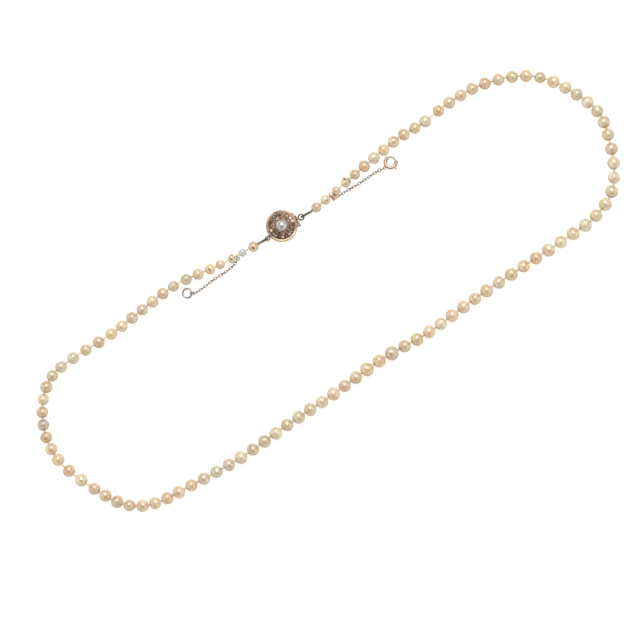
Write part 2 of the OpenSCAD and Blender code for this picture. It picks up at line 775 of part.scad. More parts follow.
translate(-ORIGIN) pearls(0, pearl_count / 2 - 1);  // pearls_left
translate(-ORIGIN) pearls(pearl_count / 2, pearl_count - 1);  // pearls_right
translate(-ORIGIN) thread();
translate(-ORIGIN) gimp_left();
translate(-ORIGIN) gimp_right();
translate(-ORIGIN) clasp_box();
translate(-ORIGIN) clasp_tongue();
translate(-ORIGIN) clasp_setting();
translate(-ORIGIN) clasp_pearl();
translate(-ORIGIN) clasp_stones_outer();
translate(-ORIGIN) clasp_stones_inner();
translate(-ORIGIN) thread_ring();
translate(-ORIGIN) hook_ring();
translate(-ORIGIN) chain_left();
translate(-ORIGIN) end_ring_left();
translate(-ORIGIN) jump_ring();
translate(-ORIGIN) chain_bail();
translate(-ORIGIN) chain_right();
translate(-ORIGIN) end_ring_right();
translate(-ORIGIN) bolt_ring_link();
translate(-ORIGIN) bolt_ring_case();
translate(-ORIGIN) bolt_ring_bolt();
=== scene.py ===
# %% [markdown]
# # A single strand of pearls
# The necklace is one closed strand of small knotted pearls with a round jewelled clasp and two short
# safety chains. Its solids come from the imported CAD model. This lesson dresses them: it grows the pearls,
# the silk, the wound wire and the chain links where the solids are, and it gives every part a finish.

# %% Frame
import math
import random

import bmesh
import bpy
import numpy as np
from mathutils import Matrix, Vector
from mathutils.bvhtree import BVHTree


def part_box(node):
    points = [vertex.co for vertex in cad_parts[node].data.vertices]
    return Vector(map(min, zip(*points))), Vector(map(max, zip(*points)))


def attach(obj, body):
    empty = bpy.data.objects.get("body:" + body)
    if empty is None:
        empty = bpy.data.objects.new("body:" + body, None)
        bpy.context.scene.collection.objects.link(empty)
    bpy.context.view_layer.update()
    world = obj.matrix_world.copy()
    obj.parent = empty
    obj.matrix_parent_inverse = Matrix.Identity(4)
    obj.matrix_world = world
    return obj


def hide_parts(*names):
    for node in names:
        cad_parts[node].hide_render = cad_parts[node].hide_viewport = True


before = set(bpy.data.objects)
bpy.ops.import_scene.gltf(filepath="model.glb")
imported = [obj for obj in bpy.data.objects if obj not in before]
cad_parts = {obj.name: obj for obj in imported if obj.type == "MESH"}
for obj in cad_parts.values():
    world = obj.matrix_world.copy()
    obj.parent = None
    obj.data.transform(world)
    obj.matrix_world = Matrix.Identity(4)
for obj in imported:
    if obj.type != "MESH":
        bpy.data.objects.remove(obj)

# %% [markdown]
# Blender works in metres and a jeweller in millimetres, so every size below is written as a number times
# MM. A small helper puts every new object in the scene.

MM = 0.001
SCENE = bpy.context.scene
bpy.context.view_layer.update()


def in_scene(name, data):
    """A new object in the scene."""
    thing = bpy.data.objects.new(name, data)
    SCENE.collection.objects.link(thing)
    return thing


# %% [markdown]
# The necklace lies on a white table and is seen from almost straight above. The camera stands far off with
# a long lens, as for a catalogue picture. Its place follows from the middle of the picture, the distance
# and how much of the table the picture shows from side to side.

# %% Camera
LOOK_AT = Vector((-3.251, -10.832, 2.0)) * MM
ELEVATION = math.radians(88)
DISTANCE = 650 * MM
SHOWN_WIDTH = 230.4 * MM
SENSOR = 36.0

camera_data = bpy.data.cameras.new("camera")
camera_data.sensor_width = SENSOR
camera_data.lens = SENSOR * DISTANCE / SHOWN_WIDTH
camera_data.clip_start = 10 * MM
camera_data.clip_end = 20
camera = in_scene("camera", camera_data)
camera.location = LOOK_AT + DISTANCE * Vector((0, -math.cos(ELEVATION), math.sin(ELEVATION)))
camera.rotation_euler = (math.radians(90) - ELEVATION, 0, 0)
SCENE.camera = camera
print("lens in mm:", round(camera_data.lens, 2))

# %% [markdown]
# Shader trees and Geometry Nodes trees are both built from nodes and links. One helper adds a node, sets
# its options and feeds its inputs in order or by name. An input takes a number or the output of another
# node. A few short ones for sums and products make a formula read almost like a line of algebra.

# %% Node helpers
def connect(tree, socket, value):
    """Sets a socket to a constant, or links it to the output of another node."""
    if isinstance(value, bpy.types.NodeSocket):
        tree.links.new(value, socket)
    elif socket.type == "RGBA":
        socket.default_value = (*value[:3], 1)
    else:
        socket.default_value = value


def add(tree, kind, inputs=(), **options):
    """Adds one node to a tree. Inputs are a row of values, or values by name."""
    node = tree.nodes.new(kind)
    for name, value in options.items():
        setattr(node, name, value)
    sockets = [socket for socket in node.inputs if socket.enabled]
    pairs = inputs.items() if isinstance(inputs, dict) else enumerate(inputs)
    for key, value in pairs:
        if value is None:
            continue
        socket = sockets[key] if isinstance(key, int) else next(s for s in sockets if s.name == key)
        connect(tree, socket, value)
    return node


def get(tree, kind, inputs=(), **options):
    """The first output of a new node."""
    return add(tree, kind, inputs, **options).outputs[0]


def xyz(tree, x, y, z):
    """A vector of three numbers."""
    return get(tree, "ShaderNodeCombineXYZ", (x, y, z))


def maths(tree, operation, *values, **options):
    """The answer of one Math node."""
    return get(tree, "ShaderNodeMath", values, operation=operation, **options)


def plus(tree, a, b):
    """The sum of two numbers."""
    return maths(tree, "ADD", a, b)


def minus(tree, a, b):
    """The difference of two numbers."""
    return maths(tree, "SUBTRACT", a, b)


def times(tree, a, b):
    """The product of two numbers."""
    return maths(tree, "MULTIPLY", a, b)


def vectors(tree, operation, *values):
    """The result of one Vector Math node, a number for DOT_PRODUCT, LENGTH and DISTANCE."""
    node = add(tree, "ShaderNodeVectorMath", operation=operation)
    sockets = [node.inputs[3]] if operation == "SCALE" else []
    for value, socket in zip(values, [node.inputs[0], *sockets, node.inputs[1], node.inputs[2]]):
        connect(tree, socket, value)
    number = operation in ("DOT_PRODUCT", "LENGTH", "DISTANCE")
    return node.outputs["Value" if number else "Vector"]


def between(tree, value, low, high, to_low=0.0, to_high=1.0, smooth=True):
    """Maps a value from one span to another, with a soft start and end."""
    steps = "SMOOTHSTEP" if smooth else "LINEAR"
    values = (value, low, high, to_low, to_high)
    return get(tree, "ShaderNodeMapRange", values, interpolation_type=steps)


def tinted(tree, share, a, b):
    """Mixes two colours by a share."""
    node = add(tree, "ShaderNodeMix", data_type="RGBA")
    for number, value in ((0, share), (6, a), (7, b)):
        connect(tree, node.inputs[number], value)
    return node.outputs[2]


def new_tree(name, family, inputs, outputs):
    """A tree with inputs and outputs of its own. An input is given as its value, or as its kind."""
    tree = bpy.data.node_groups.new(name, family + "NodeTree")
    for label, value in inputs.items():
        bare = isinstance(value, str)
        kind = value if bare else {1: "Float", 3: "Vector", 4: "Color"}[np.size(value)]
        socket = tree.interface.new_socket(label, in_out="INPUT", socket_type="NodeSocket" + kind)
        if not bare:
            socket.default_value = value
    for label, kind in outputs.items():
        tree.interface.new_socket(label, in_out="OUTPUT", socket_type="NodeSocket" + kind)
    return tree, add(tree, "NodeGroupInput").outputs


# %% [markdown]
# A Geometry Nodes tree takes a mesh of bare points and grows the parts on them. Each point carries what its
# part needs, such as its radius and the way its hole runs. The tree's own inputs are the sizes that all
# parts share. The grown result is then copied to a plain mesh, because a modifier can't ride on a body.

# %% Growing helpers
def new_geometry_tree(name, sizes):
    """A tree with a mesh in and a mesh out, that also takes some sizes and a finish."""
    inputs = {"Mesh": "Geometry", **sizes, "Finish": "Material"}
    return new_tree(name, "Geometry", inputs, {"Mesh": "Geometry"})


def aimed(tree, name, axis):
    """The turn that brings an axis into a direction that the points carry."""
    way = {"Vector": named(tree, name, "FLOAT_VECTOR")}
    return get(tree, "FunctionNodeAlignRotationToVector", way, axis=axis)


def wire_section(tree, wire, resolution):
    """The round section of a wire, as a curve."""
    sizes = {"Resolution": resolution, "Radius": times(tree, wire, 0.5)}
    return get(tree, "GeometryNodeCurvePrimitiveCircle", sizes)


def placed(tree, points, part, **values):
    """Copies of a part on every point."""
    inputs = {"Points": points, "Instance": part, **values}
    return get(tree, "GeometryNodeInstanceOnPoints", inputs)


def swept(tree, way, section, closed=False):
    """A tube: a section that follows a curve, with closed ends if asked."""
    values = {"Curve": way, "Profile Curve": section, "Fill Caps": closed}
    return get(tree, "GeometryNodeCurveToMesh", values)


def end_tree(tree, given, mesh, smooth=None):
    """Ends a tree: instances become real, are smoothed if asked, get their material and go out."""
    real = get(tree, "GeometryNodeRealizeInstances", (mesh,))
    if smooth is not None:
        real = get(tree, "GeometryNodeSetShadeSmooth", {"Geometry": real, "Shade Smooth": smooth})
    dressed = get(tree, "GeometryNodeSetMaterial", {"Geometry": real, "Material": given["Finish"]})
    add(tree, "NodeGroupOutput", (dressed,))


def named(tree, name, kind="FLOAT"):
    """Reads what every point carries under a name."""
    return get(tree, "GeometryNodeInputNamedAttribute", (name,), data_type=kind)


def stored(tree, mesh, name, value, kind="FLOAT", domain="POINT"):
    """Writes a value on every point, for the shader to read."""
    values = {"Geometry": mesh, "Name": name, "Value": value}
    return get(tree, "GeometryNodeStoreNamedAttribute", values, data_type=kind, domain=domain)


def points_mesh(name, places, edges=(), **carried):
    """A mesh of bare points, each of which carries named numbers or vectors."""
    mesh = bpy.data.meshes.new(name)
    mesh.from_pydata([tuple(place) for place in places], list(edges), [])
    for label, values in carried.items():
        values = np.asarray(values, dtype=np.float32)
        kind = "FLOAT" if values.ndim == 1 else "FLOAT_VECTOR"
        layer = mesh.attributes.new(label, kind, "POINT")
        layer.data.foreach_set("value" if kind == "FLOAT" else "vector", values.ravel())
    return mesh


def grow(name, mesh, tree, **values):
    """Runs a tree on a mesh of points and keeps the result as a plain mesh object."""
    seedling = in_scene(name + "_points", mesh)
    modifier = seedling.modifiers.new("grow", "NODES")
    modifier.node_group = tree
    for item in tree.interface.items_tree:
        if item.in_out == "INPUT" and item.name in values:
            modifier[item.identifier] = values[item.name]
    depsgraph = bpy.context.evaluated_depsgraph_get()
    grown = bpy.data.meshes.new_from_object(
        seedling.evaluated_get(depsgraph), preserve_all_data_layers=True, depsgraph=depsgraph
    )
    seedling.modifiers.clear()
    bpy.data.objects.remove(seedling)
    grown.name = name
    piece = in_scene(name, grown)
    print(name, "has", len(grown.vertices), "points and", len(grown.polygons), "faces")
    return piece


# %% [markdown]
# The CAD model says where everything is. A node such as the pearls holds many separate solids in one mesh,
# so its merged copy is split into loose solids, and each one is measured: a pearl by the sphere through its
# points, and a link by its three main directions.

# %% Measuring helpers
def loose_solids(node):
    """The separate solids of a CAD node, each as its points and its faces."""
    copy = bmesh.new()
    copy.from_mesh(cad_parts[node].data)
    bmesh.ops.remove_doubles(copy, verts=copy.verts, dist=0.5e-6)
    solids = []
    seen = set()
    for start in copy.verts:
        if start in seen:
            continue
        seen.add(start)
        island = [start]
        for vert in island:
            for edge in vert.link_edges:
                other = edge.other_vert(vert)
                if other not in seen:
                    seen.add(other)
                    island.append(other)
        number = {vert: i for i, vert in enumerate(island)}
        faces = {face for vert in island for face in vert.link_faces}
        points = np.array([vert.co for vert in island])
        rows = [[number[v] for v in face.verts] for face in faces]
        solids.append((points, sorted(rows)))
    copy.free()
    return solids


def measure_bead(points, faces):
    """Centre, radius and the way of the hole of a drilled sphere. All its points lie on the sphere."""
    table = np.column_stack([2 * points, np.ones(len(points))])
    answer = np.linalg.lstsq(table, (points ** 2).sum(1), rcond=None)[0]
    centre = answer[:3]
    radius = math.sqrt(answer[3] + centre @ centre)
    walls = []
    for face in faces:
        a, b, c = points[face[:3]]
        normal = np.cross(b - a, c - a)
        if normal @ (a + b + c - 3 * centre) < 0:
            walls.append(normal / np.linalg.norm(normal))
    way = np.linalg.svd(np.array(walls))[2][2]
    return centre, radius, way


beads = [measure_bead(*solid) for node in ("pearls_left", "pearls_right") for solid in loose_solids(node)]
print("pearls:", len(beads))
print("largest and smallest in mm:", [round(2 * f(b[1] for b in beads) / MM, 2) for f in (max, min)])

# %% [markdown]
# The strand starts at the clasp's left ring. From there the pearls are put in order by stepping to the
# nearest one each time, and every hole is turned to point along the strand. The knots sit halfway between
# the mouths of two holes.

# %% Order along the strand
HALF = len(beads) // 2
strand = []
place = np.array(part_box("gimp_left")[0])
left = list(beads)
while left:
    nearest = min(left, key=lambda bead: np.linalg.norm(bead[0] - place))
    left = [bead for bead in left if bead is not nearest]
    strand.append(nearest)
    place = nearest[0]
for i, (centre, radius, way) in enumerate(strand):
    ahead = strand[min(i + 1, len(strand) - 1)][0] - strand[max(i - 1, 0)][0]
    strand[i] = (centre, radius, way if way @ ahead > 0 else -way)

END_KNOT = 0.55 * MM
mouths = [(c - r * w, c + r * w) for c, r, w in strand]
knots = [mouths[0][0] - END_KNOT * strand[0][2]]
for before, after in zip(mouths, mouths[1:]):
    knots.append((before[1] + after[0]) / 2)
knots.append(mouths[-1][1] + END_KNOT * strand[-1][2])
print("knots:", len(knots), "first", [round(v / MM, 2) for v in knots[0]])

# %% [markdown]
# Some effects come back in several finishes, so each is a shader group with inputs of its own, made once.
# The first mottles a colour with soft clouds in two sizes. The second gives fine scratches, which on worn
# metal run every way: noise that is stretched a lot in one direction, of which only a thin band is kept.

# %% Shader groups
def noise(tree, place, scale, detail=2.0, roughness=0.5, distortion=0.0):
    """Cloud noise between 0 and 1."""
    values = {"Vector": place, "Scale": scale, "Detail": detail, "Roughness": roughness}
    return get(tree, "ShaderNodeTexNoise", {**values, "Distortion": distortion})


WIDE_BAND = (0.36, 0.70)
FINE_BAND = (0.42, 0.78)
FINER = 2.6
WHITE_BASE = (1, 1, 1, 1)
ORIGIN = (0, 0, 0)


def make_mottle():
    """Soft clouds in two sizes that shift one colour towards a second and a third."""
    inputs = {"Place": ORIGIN, "Scale": 300.0, "Amount": 0.5}
    inputs.update({"Base": WHITE_BASE, "Second": WHITE_BASE, "Third": WHITE_BASE})
    tree, given = new_tree("mottle", "Shader", inputs, {"Color": "Color", "Cloud": "Float"})
    wide = noise(tree, given["Place"], given["Scale"], 1.0)
    fine = noise(tree, given["Place"], times(tree, given["Scale"], FINER), 1.0)
    wide_share = times(tree, between(tree, wide, *WIDE_BAND), given["Amount"])
    fine_share = times(tree, between(tree, fine, *FINE_BAND), given["Amount"])
    colour = tinted(tree, wide_share, given["Base"], given["Second"])
    colour = tinted(tree, fine_share, colour, given["Third"])
    add(tree, "NodeGroupOutput", (colour, wide))
    return tree


SCRATCH_TURNS = (0.4, 1.7, 2.6)
STRETCH = (1.0, 0.04, 0.06)
SCRATCH_BAND = (0.015, 0.0)


def make_scratches():
    """Thin lines that cross in all directions, as a mask."""
    inputs = {"Place": ORIGIN, "Scale": 900.0, "Sharpness": 0.5}
    tree, given = new_tree("scratches", "Shader", inputs, {"Mask": "Float"})
    result = None
    for turn in SCRATCH_TURNS:
        values = {"Vector": given["Place"], "Axis": (0.3, turn, 1.0), "Angle": turn}
        turned = get(tree, "ShaderNodeVectorRotate", values)
        thin = vectors(tree, "MULTIPLY", turned, STRETCH)
        lines = noise(tree, thin, given["Scale"], 1.0)
        middle = maths(tree, "ABSOLUTE", minus(tree, lines, 0.5))
        mask = between(tree, middle, *SCRATCH_BAND)
        result = mask if result is None else maths(tree, "MAXIMUM", result, mask)
    add(tree, "NodeGroupOutput", (times(tree, result, given["Sharpness"]),))
    return tree


MOTTLE = make_mottle()
SCRATCHES = make_scratches()


def feed(tree, node, **inputs):
    """Sets the sockets of a node by name, to a constant or to a link."""
    for label, value in inputs.items():
        connect(tree, node.inputs[label.replace("_", " ")], value)


def use(tree, group, **inputs):
    """Places a shader group in a material."""
    node = add(tree, "ShaderNodeGroup", node_tree=group)
    feed(tree, node, **inputs)
    return node.outputs


def new_finish(name):
    """An empty material with its shader and its output. Gives the material, its tree and the shader."""
    material = bpy.data.materials.new(name)
    material.use_nodes = True
    tree = material.node_tree
    tree.nodes.clear()
    shader = add(tree, "ShaderNodeBsdfPrincipled")
    out = add(tree, "ShaderNodeOutputMaterial")
    tree.links.new(shader.outputs[0], out.inputs[0])
    return material, tree, shader


def bumped(tree, strength, depth, height):
    """A bumpy normal from a height. The depth is in millimetres."""
    values = {"Strength": strength, "Distance": depth * MM, "Height": height}
    return get(tree, "ShaderNodeBump", values)


def object_place(tree):
    """Object coordinates, which are metres in the shared frame on every piece of this scene."""
    return add(tree, "ShaderNodeTexCoord").outputs["Object"]


def carried(tree, name, output="Vector"):
    """Reads an attribute that the geometry carries."""
    return add(tree, "ShaderNodeAttribute", attribute_name=name).outputs[output]


# %% [markdown]
# Nacre is built of thin clear layers over a cream body, so a pearl has no single colour. Peach and
# yellow-green patches lie under a soft gloss, the layer edges give a very fine ripple, and old pearls have
# small dark growth marks. A clear coat gives the gloss and fades towards the rim, where nacre looks soft.

# %% Nacre
MARK_GRAIN = (3.2, 4.0)
MARK_RAGGED = 1.1
MARK_CORE = 0.35


def make_healed_mark():
    """A short dark mark on a pearl: how dark it is at a place, from where it starts and the way it runs."""
    inputs = {"Out": ORIGIN, "At": ORIGIN, "Way": ORIGIN, "Width": 0.2}
    tree, given = new_tree("growth_mark", "Shader", inputs, {"Mask": "Float"})
    away = vectors(tree, "SUBTRACT", given["Out"], given["At"])
    long = plus(tree, vectors(tree, "DOT_PRODUCT", given["Way"], given["Way"]), 1e-6)
    share = maths(tree, "DIVIDE", vectors(tree, "DOT_PRODUCT", away, given["Way"]), long, use_clamp=True)
    nearest = vectors(tree, "SCALE", given["Way"], share)
    gap = vectors(tree, "DISTANCE", away, nearest)
    rough = noise(tree, given["Out"], *MARK_GRAIN)
    gap = plus(tree, gap, times(tree, minus(tree, rough, 0.5), MARK_RAGGED))
    inner = times(tree, given["Width"], MARK_CORE)
    add(tree, "NodeGroupOutput", (between(tree, gap, given["Width"], inner),))
    return tree


GROWTH_MARK = make_healed_mark()

MARK_WIDTH = 0.32
MARK_COLOUR = (0.06, 0.032, 0.015)
PIT_COLOUR = (0.30, 0.22, 0.12)
CLOUD_SCALE = 0.36
PEACH_SHARE = 0.9
PIT_BAND = (0.70, 0.78)
RIPPLE_BAND = (0.38, 0.75)
GLOSS_BAND = (0.3, 0.7, 0.26, 0.38)
RIM_BAND = (0.28, 0.55)
RIM_LOSS = 0.95
PEACH_CLOUD = (0.62, 0.33, 0.16)
OLIVE_CLOUD = (0.35, 0.28, 0.07)
LILAC_CLOUD = (0.27, 0.21, 0.25)
PALE_LAYER = (0.72, 0.68, 0.61)


def make_nacre(name, cloud=PEACH_CLOUD, olive_share=0.68, coat_ior=2.0, tint=None, middle=None):
    """The finish of pearls. Strung ones carry their tint, and a single one is given tint and middle."""
    material, tree, shader = new_finish(name)
    strung = middle is None
    if strung:
        out = carried(tree, "out")
        seed = carried(tree, "seed", "Fac")
        tint = carried(tree, "tint", "Color")
    else:
        out = vectors(tree, "SCALE", vectors(tree, "SUBTRACT", object_place(tree), middle), 1 / MM)
        seed = 3.0
    shift = xyz(tree, seed, seed, 0.0)
    place = vectors(tree, "ADD", out, shift)
    peach = tinted(tree, PEACH_SHARE, tint, cloud)
    olive = tinted(tree, olive_share, tint, OLIVE_CLOUD)
    patches = use(
        tree, MOTTLE, Place=place, Scale=CLOUD_SCALE, Amount=1.0, Base=tint, Second=peach, Third=olive
    )
    ripple = noise(tree, place, 0.9, 1.0, 0.5, 0.3)
    pale_share = times(tree, between(tree, ripple, *RIPPLE_BAND), 0.55)
    colour = tinted(tree, pale_share, patches["Color"], PALE_LAYER)
    blemish = 0.0
    if strung:
        for side in "ab":
            start = carried(tree, "mark_" + side)
            run = carried(tree, "run_" + side)
            mark = use(tree, GROWTH_MARK, Out=out, At=start, Way=run, Width=MARK_WIDTH)["Mask"]
            blemish = maths(tree, "MAXIMUM", blemish, mark)
        colour = tinted(tree, blemish, colour, MARK_COLOUR)
    pits = between(tree, noise(tree, place, 5.0, 2.0), *PIT_BAND)
    colour = tinted(tree, times(tree, pits, 0.3), colour, PIT_COLOUR)
    bump = bumped(tree, 0.25, 0.02, minus(tree, ripple, pits))
    gloss = between(tree, patches["Cloud"], *GLOSS_BAND)
    facing = add(tree, "ShaderNodeLayerWeight", {"Blend": 0.5}).outputs["Facing"]
    whole = minus(tree, 1.0, times(tree, blemish, 0.9))
    lost = times(tree, between(tree, facing, *RIM_BAND, 0.0, RIM_LOSS), whole)
    coat = minus(tree, whole, lost)
    feed(
        tree, shader, Base_Color=colour, Roughness=gloss, Normal=bump,
        Subsurface_Weight=0.05, Subsurface_Radius=(0.9, 0.6, 0.4), Subsurface_Scale=0.5 * MM,
        Specular_IOR_Level=0.1, Coat_Weight=coat, Coat_Roughness=0.12, Coat_IOR=coat_ior,
    )
    return material


NACRE = make_nacre("nacre")

# %% [markdown]
# Every pearl is grown from one sheet of points that is rolled into a ball round its hole. One step of the
# sheet more than the ball needs runs straight back through the hole, so the skin is closed. Real pearls are
# never quite round: soft noise pulls the skin in by a few hundredths, an oval pearl is slimmer all round,
# and one that has room is a few hundredths wider across the strand.

# %% Pearl tree
AROUND = 32
ROWS = 20
TURN = 2 * math.pi
LUMP_SCALE = 0.9
LUMP_BAND = (0.45, 0.75)


def make_pearl_tree():
    """Grows a drilled pearl on every point. A point carries its size, way and shape."""
    tree, given = new_geometry_tree("strung_pearls", {"Hole": 0.68 * MM, "Out of Round": 0.025})
    sizes = {"Size X": 1.0, "Size Y": 1.0, "Vertices X": AROUND + 1, "Vertices Y": ROWS + 1}
    sheet = get(tree, "GeometryNodeMeshGrid", sizes)
    spot = get(tree, "GeometryNodeInputPosition")
    sheet = stored(tree, sheet, "sheet", spot, "FLOAT_VECTOR")
    copies = placed(tree, given["Mesh"], sheet)
    marked = stored(tree, copies, "bead_centre", spot, "FLOAT_VECTOR", "INSTANCE")
    real = get(tree, "GeometryNodeRealizeInstances", (marked,))

    across, along, _ = add(tree, "ShaderNodeSeparateXYZ", (named(tree, "sheet", "FLOAT_VECTOR"),)).outputs
    turn = times(tree, plus(tree, across, 0.5), TURN)
    row = maths(tree, "ROUND", times(tree, plus(tree, along, 0.5), float(ROWS)))
    share = maths(tree, "DIVIDE", maths(tree, "MODULO", row, float(ROWS)), ROWS - 1.0)
    radius = named(tree, "bead_radius")
    rim = maths(tree, "ARCSINE", maths(tree, "DIVIDE", times(tree, given["Hole"], 0.5), radius))
    span = minus(tree, math.pi, times(tree, rim, 2.0))
    tilt = plus(tree, rim, times(tree, share, span))
    side = maths(tree, "SINE", tilt)
    slim = times(tree, side, minus(tree, 1.0, named(tree, "oval")))
    sideways = times(tree, slim, maths(tree, "COSINE", turn))
    upwards = times(tree, slim, maths(tree, "SINE", turn))
    local = xyz(tree, sideways, upwards, times(tree, maths(tree, "COSINE", tilt), -1.0))

    seed = named(tree, "seed")
    shift = xyz(tree, seed, seed, 0.0)
    lumps = noise(tree, vectors(tree, "ADD", local, shift), LUMP_SCALE, 1.0)
    lumps = between(tree, lumps, *LUMP_BAND)
    pulled = times(tree, times(tree, lumps, given["Out of Round"]), side)
    reach = times(tree, radius, minus(tree, 1.0, pulled))
    upright = vectors(tree, "SCALE", local, reach)
    way = aimed(tree, "bead_way", "Z")
    out = get(tree, "FunctionNodeRotateVector", {"Vector": upright, "Rotation": way})
    level = named(tree, "bead_side", "FLOAT_VECTOR")
    wider = times(tree, vectors(tree, "DOT_PRODUCT", out, level), named(tree, "wide"))
    out = vectors(tree, "ADD", out, vectors(tree, "SCALE", level, wider))
    spot = vectors(tree, "ADD", named(tree, "bead_centre", "FLOAT_VECTOR"), out)
    skin = get(tree, "GeometryNodeSetPosition", {"Geometry": real, "Position": spot})
    skin = stored(tree, skin, "out", vectors(tree, "SCALE", out, 1 / MM), "FLOAT_VECTOR")
    on_ball = get(tree, "FunctionNodeCompare", (along, 0.5 - 1.0 / ROWS), operation="LESS_THAN")
    skin = get(tree, "GeometryNodeSetShadeSmooth", {"Geometry": skin, "Shade Smooth": on_ball})
    skin = get(tree, "GeometryNodeMergeByDistance", {"Geometry": skin, "Distance": 0.001 * MM})
    end_tree(tree, given, skin)
    return tree


PEARL_TREE = make_pearl_tree()

# %% [markdown]
# The tints are chosen by a fixed seed from a few kinds of cream that go from pale to peach, and some pearls
# near the clasp are given theirs one by one. Marks are listed too: the pearl's number, then where the
# mark starts and how it runs, in millimetres as seen from above. WIDE says how much wider than round a
# pearl beside the chains is, and pearls that lie free are widened at random.

# %% Tints and marks
CREAM = (0.63, 0.51, 0.32)
ROSY = (0.65, 0.48, 0.29)
GOLDEN = (0.61, 0.46, 0.23)
GREENISH = (0.62, 0.53, 0.33)
WHITE = (0.68, 0.58, 0.44)
LILAC_GREY = (0.64, 0.65, 0.66)
MAUVE = (0.56, 0.43, 0.30)
SILVERY = (0.63, 0.55, 0.42)
KINDS = [CREAM, CREAM, CREAM, ROSY, ROSY, GOLDEN, GOLDEN, GREENISH, WHITE, MAUVE, SILVERY]
PEACH = (0.66, 0.42, 0.25)
CHOSEN = {
    0: CREAM, 1: LILAC_GREY, 2: CREAM, 3: ROSY, 4: GOLDEN, 8: PEACH,
    98: ROSY, 99: GOLDEN, 100: CREAM, 101: WHITE, 102: CREAM, 103: GOLDEN,
}
MARKS = {
    0: [((-0.1, -0.5), (0.25, -0.2))],
    2: [((0.1, 1.2), (0.2, 0.3)), ((-0.3, 0.0), (0.45, -0.45))],
    4: [((-0.3, 0.3), (0.35, -0.8))],
    100: [((-0.8, 1.3), (0.8, -0.9)), ((1.1, 0.8), (0.3, -0.9))],
    102: [((0.5, -0.3), (0.1, 0.0))],
}
OVALS = {83: 0.07}
WIDE = {
    0: 0.08, 1: 0.05, 2: 0.08, 4: 0.05, 5: 0.04,
    96: 0.05, 97: 0.05, 98: 0.08, 99: 0.05, 100: 0.05, 102: 0.05,
}
FREE_PEARLS = range(9, 95)
FREE_ROOM = 0.5 * MM
FAR = (99.0, 99.0, 99.0)
rng = random.Random(12)


def on_skin(spot, radius):
    """A place on a pearl's skin in millimetres, from where it is seen from above."""
    x, y = spot
    return (x, y, math.sqrt(max((radius / MM) ** 2 - x * x - y * y, 0.0)))


STRING_BOXES = [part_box("pearls_left"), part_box("pearls_right")]


def has_room(i, centre, reach):
    """Whether a pearl may be a little wider than round: it lies free, and inside the box of its string."""
    low, high = STRING_BOXES[i // HALF]
    room = min(min(centre[k] - low[k], high[k] - centre[k]) - reach[k] for k in (0, 1))
    return i in FREE_PEARLS and room > FREE_ROOM


carried_by_pearls = []
for i, (centre, radius, way) in enumerate(strand):
    tint = CHOSEN.get(i, rng.choice(KINDS))
    lighter = rng.uniform(0.76, 1.24)
    row = {"tint": [min(c * lighter, 0.95) for c in tint], "seed": rng.uniform(0, 90)}
    marks = MARKS.get(i, [])
    for side, k in (("a", 0), ("b", 1)):
        start, run = marks[k] if k < len(marks) else (None, None)
        if start is None:
            row["mark_" + side] = FAR
            row["run_" + side] = (0.0, 0.0, 0.0)
            continue
        here = on_skin(start, radius)
        there = on_skin((start[0] + run[0], start[1] + run[1]), radius)
        row["mark_" + side] = here
        row["run_" + side] = [b - a for a, b in zip(here, there)]
    level = np.cross(way, (0, 0, 1))
    level = level / np.linalg.norm(level)
    row["bead_side"] = level
    free = has_room(i, centre, radius * np.abs(level))
    row["wide"] = rng.uniform(0.02, 0.08) if free else WIDE.get(i, 0.0)
    row["bead_radius"] = radius
    row["oval"] = OVALS.get(i, rng.uniform(0.0, 0.02))
    row["bead_way"] = way
    carried_by_pearls.append(row)

for node, first in (("pearls_left", 0), ("pearls_right", HALF)):
    rows = carried_by_pearls[first:first + HALF]
    places = [strand[i][0] for i in range(first, first + HALF)]
    mesh = points_mesh(node, places, **{key: [row[key] for row in rows] for key in rows[0]})
    piece = grow(node.replace("pearls", "nacre"), mesh, PEARL_TREE, Finish=NACRE)
    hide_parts(node)
    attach(piece, "necklace")

# %% [markdown]
# The pearls hang on silk, spun from three plies. Between two pearls it is tied in a knot, so that they
# don't rub and none is lost when the silk breaks. The plies show only in the gaps, so the curve has a
# point every few hundredths of a millimetre there and none inside a pearl. Its section is a three-pointed
# star that turns on its way, one full turn in every gap.

# %% Silk tree
SILK_D = 0.32 * MM
STEPS_IN_GAP = 12


def make_silk_tree():
    """Sweeps a turning three-ply section along the edges of a mesh. A point carries spun, its turn."""
    tree, given = new_geometry_tree("spun_silk", {"Thickness": SILK_D})
    curve = get(tree, "GeometryNodeMeshToCurve", (given["Mesh"],))
    curve = get(tree, "GeometryNodeSetCurveTilt", {"Curve": curve, "Tilt": named(tree, "spun")})
    outer = times(tree, given["Thickness"], 0.5)
    inner = times(tree, given["Thickness"], 0.34)
    star = {"Points": 3, "Inner Radius": inner, "Outer Radius": outer}
    section = get(tree, "GeometryNodeCurveStar", star)
    end_tree(tree, given, swept(tree, curve, section, closed=True), smooth=True)
    return tree


SILK_TREE = make_silk_tree()

# %% [markdown]
# A knot on a pearl thread is a plain overhand knot drawn tight. The curve of a three-lobed knot makes one
# that looks right from every side: it is drawn once, and placed between the pearls, a little shorter where
# the gap is narrow and turned by a random amount.

# %% Knot tree
KNOT_D = 0.9 * MM
KNOT_STEPS = 22


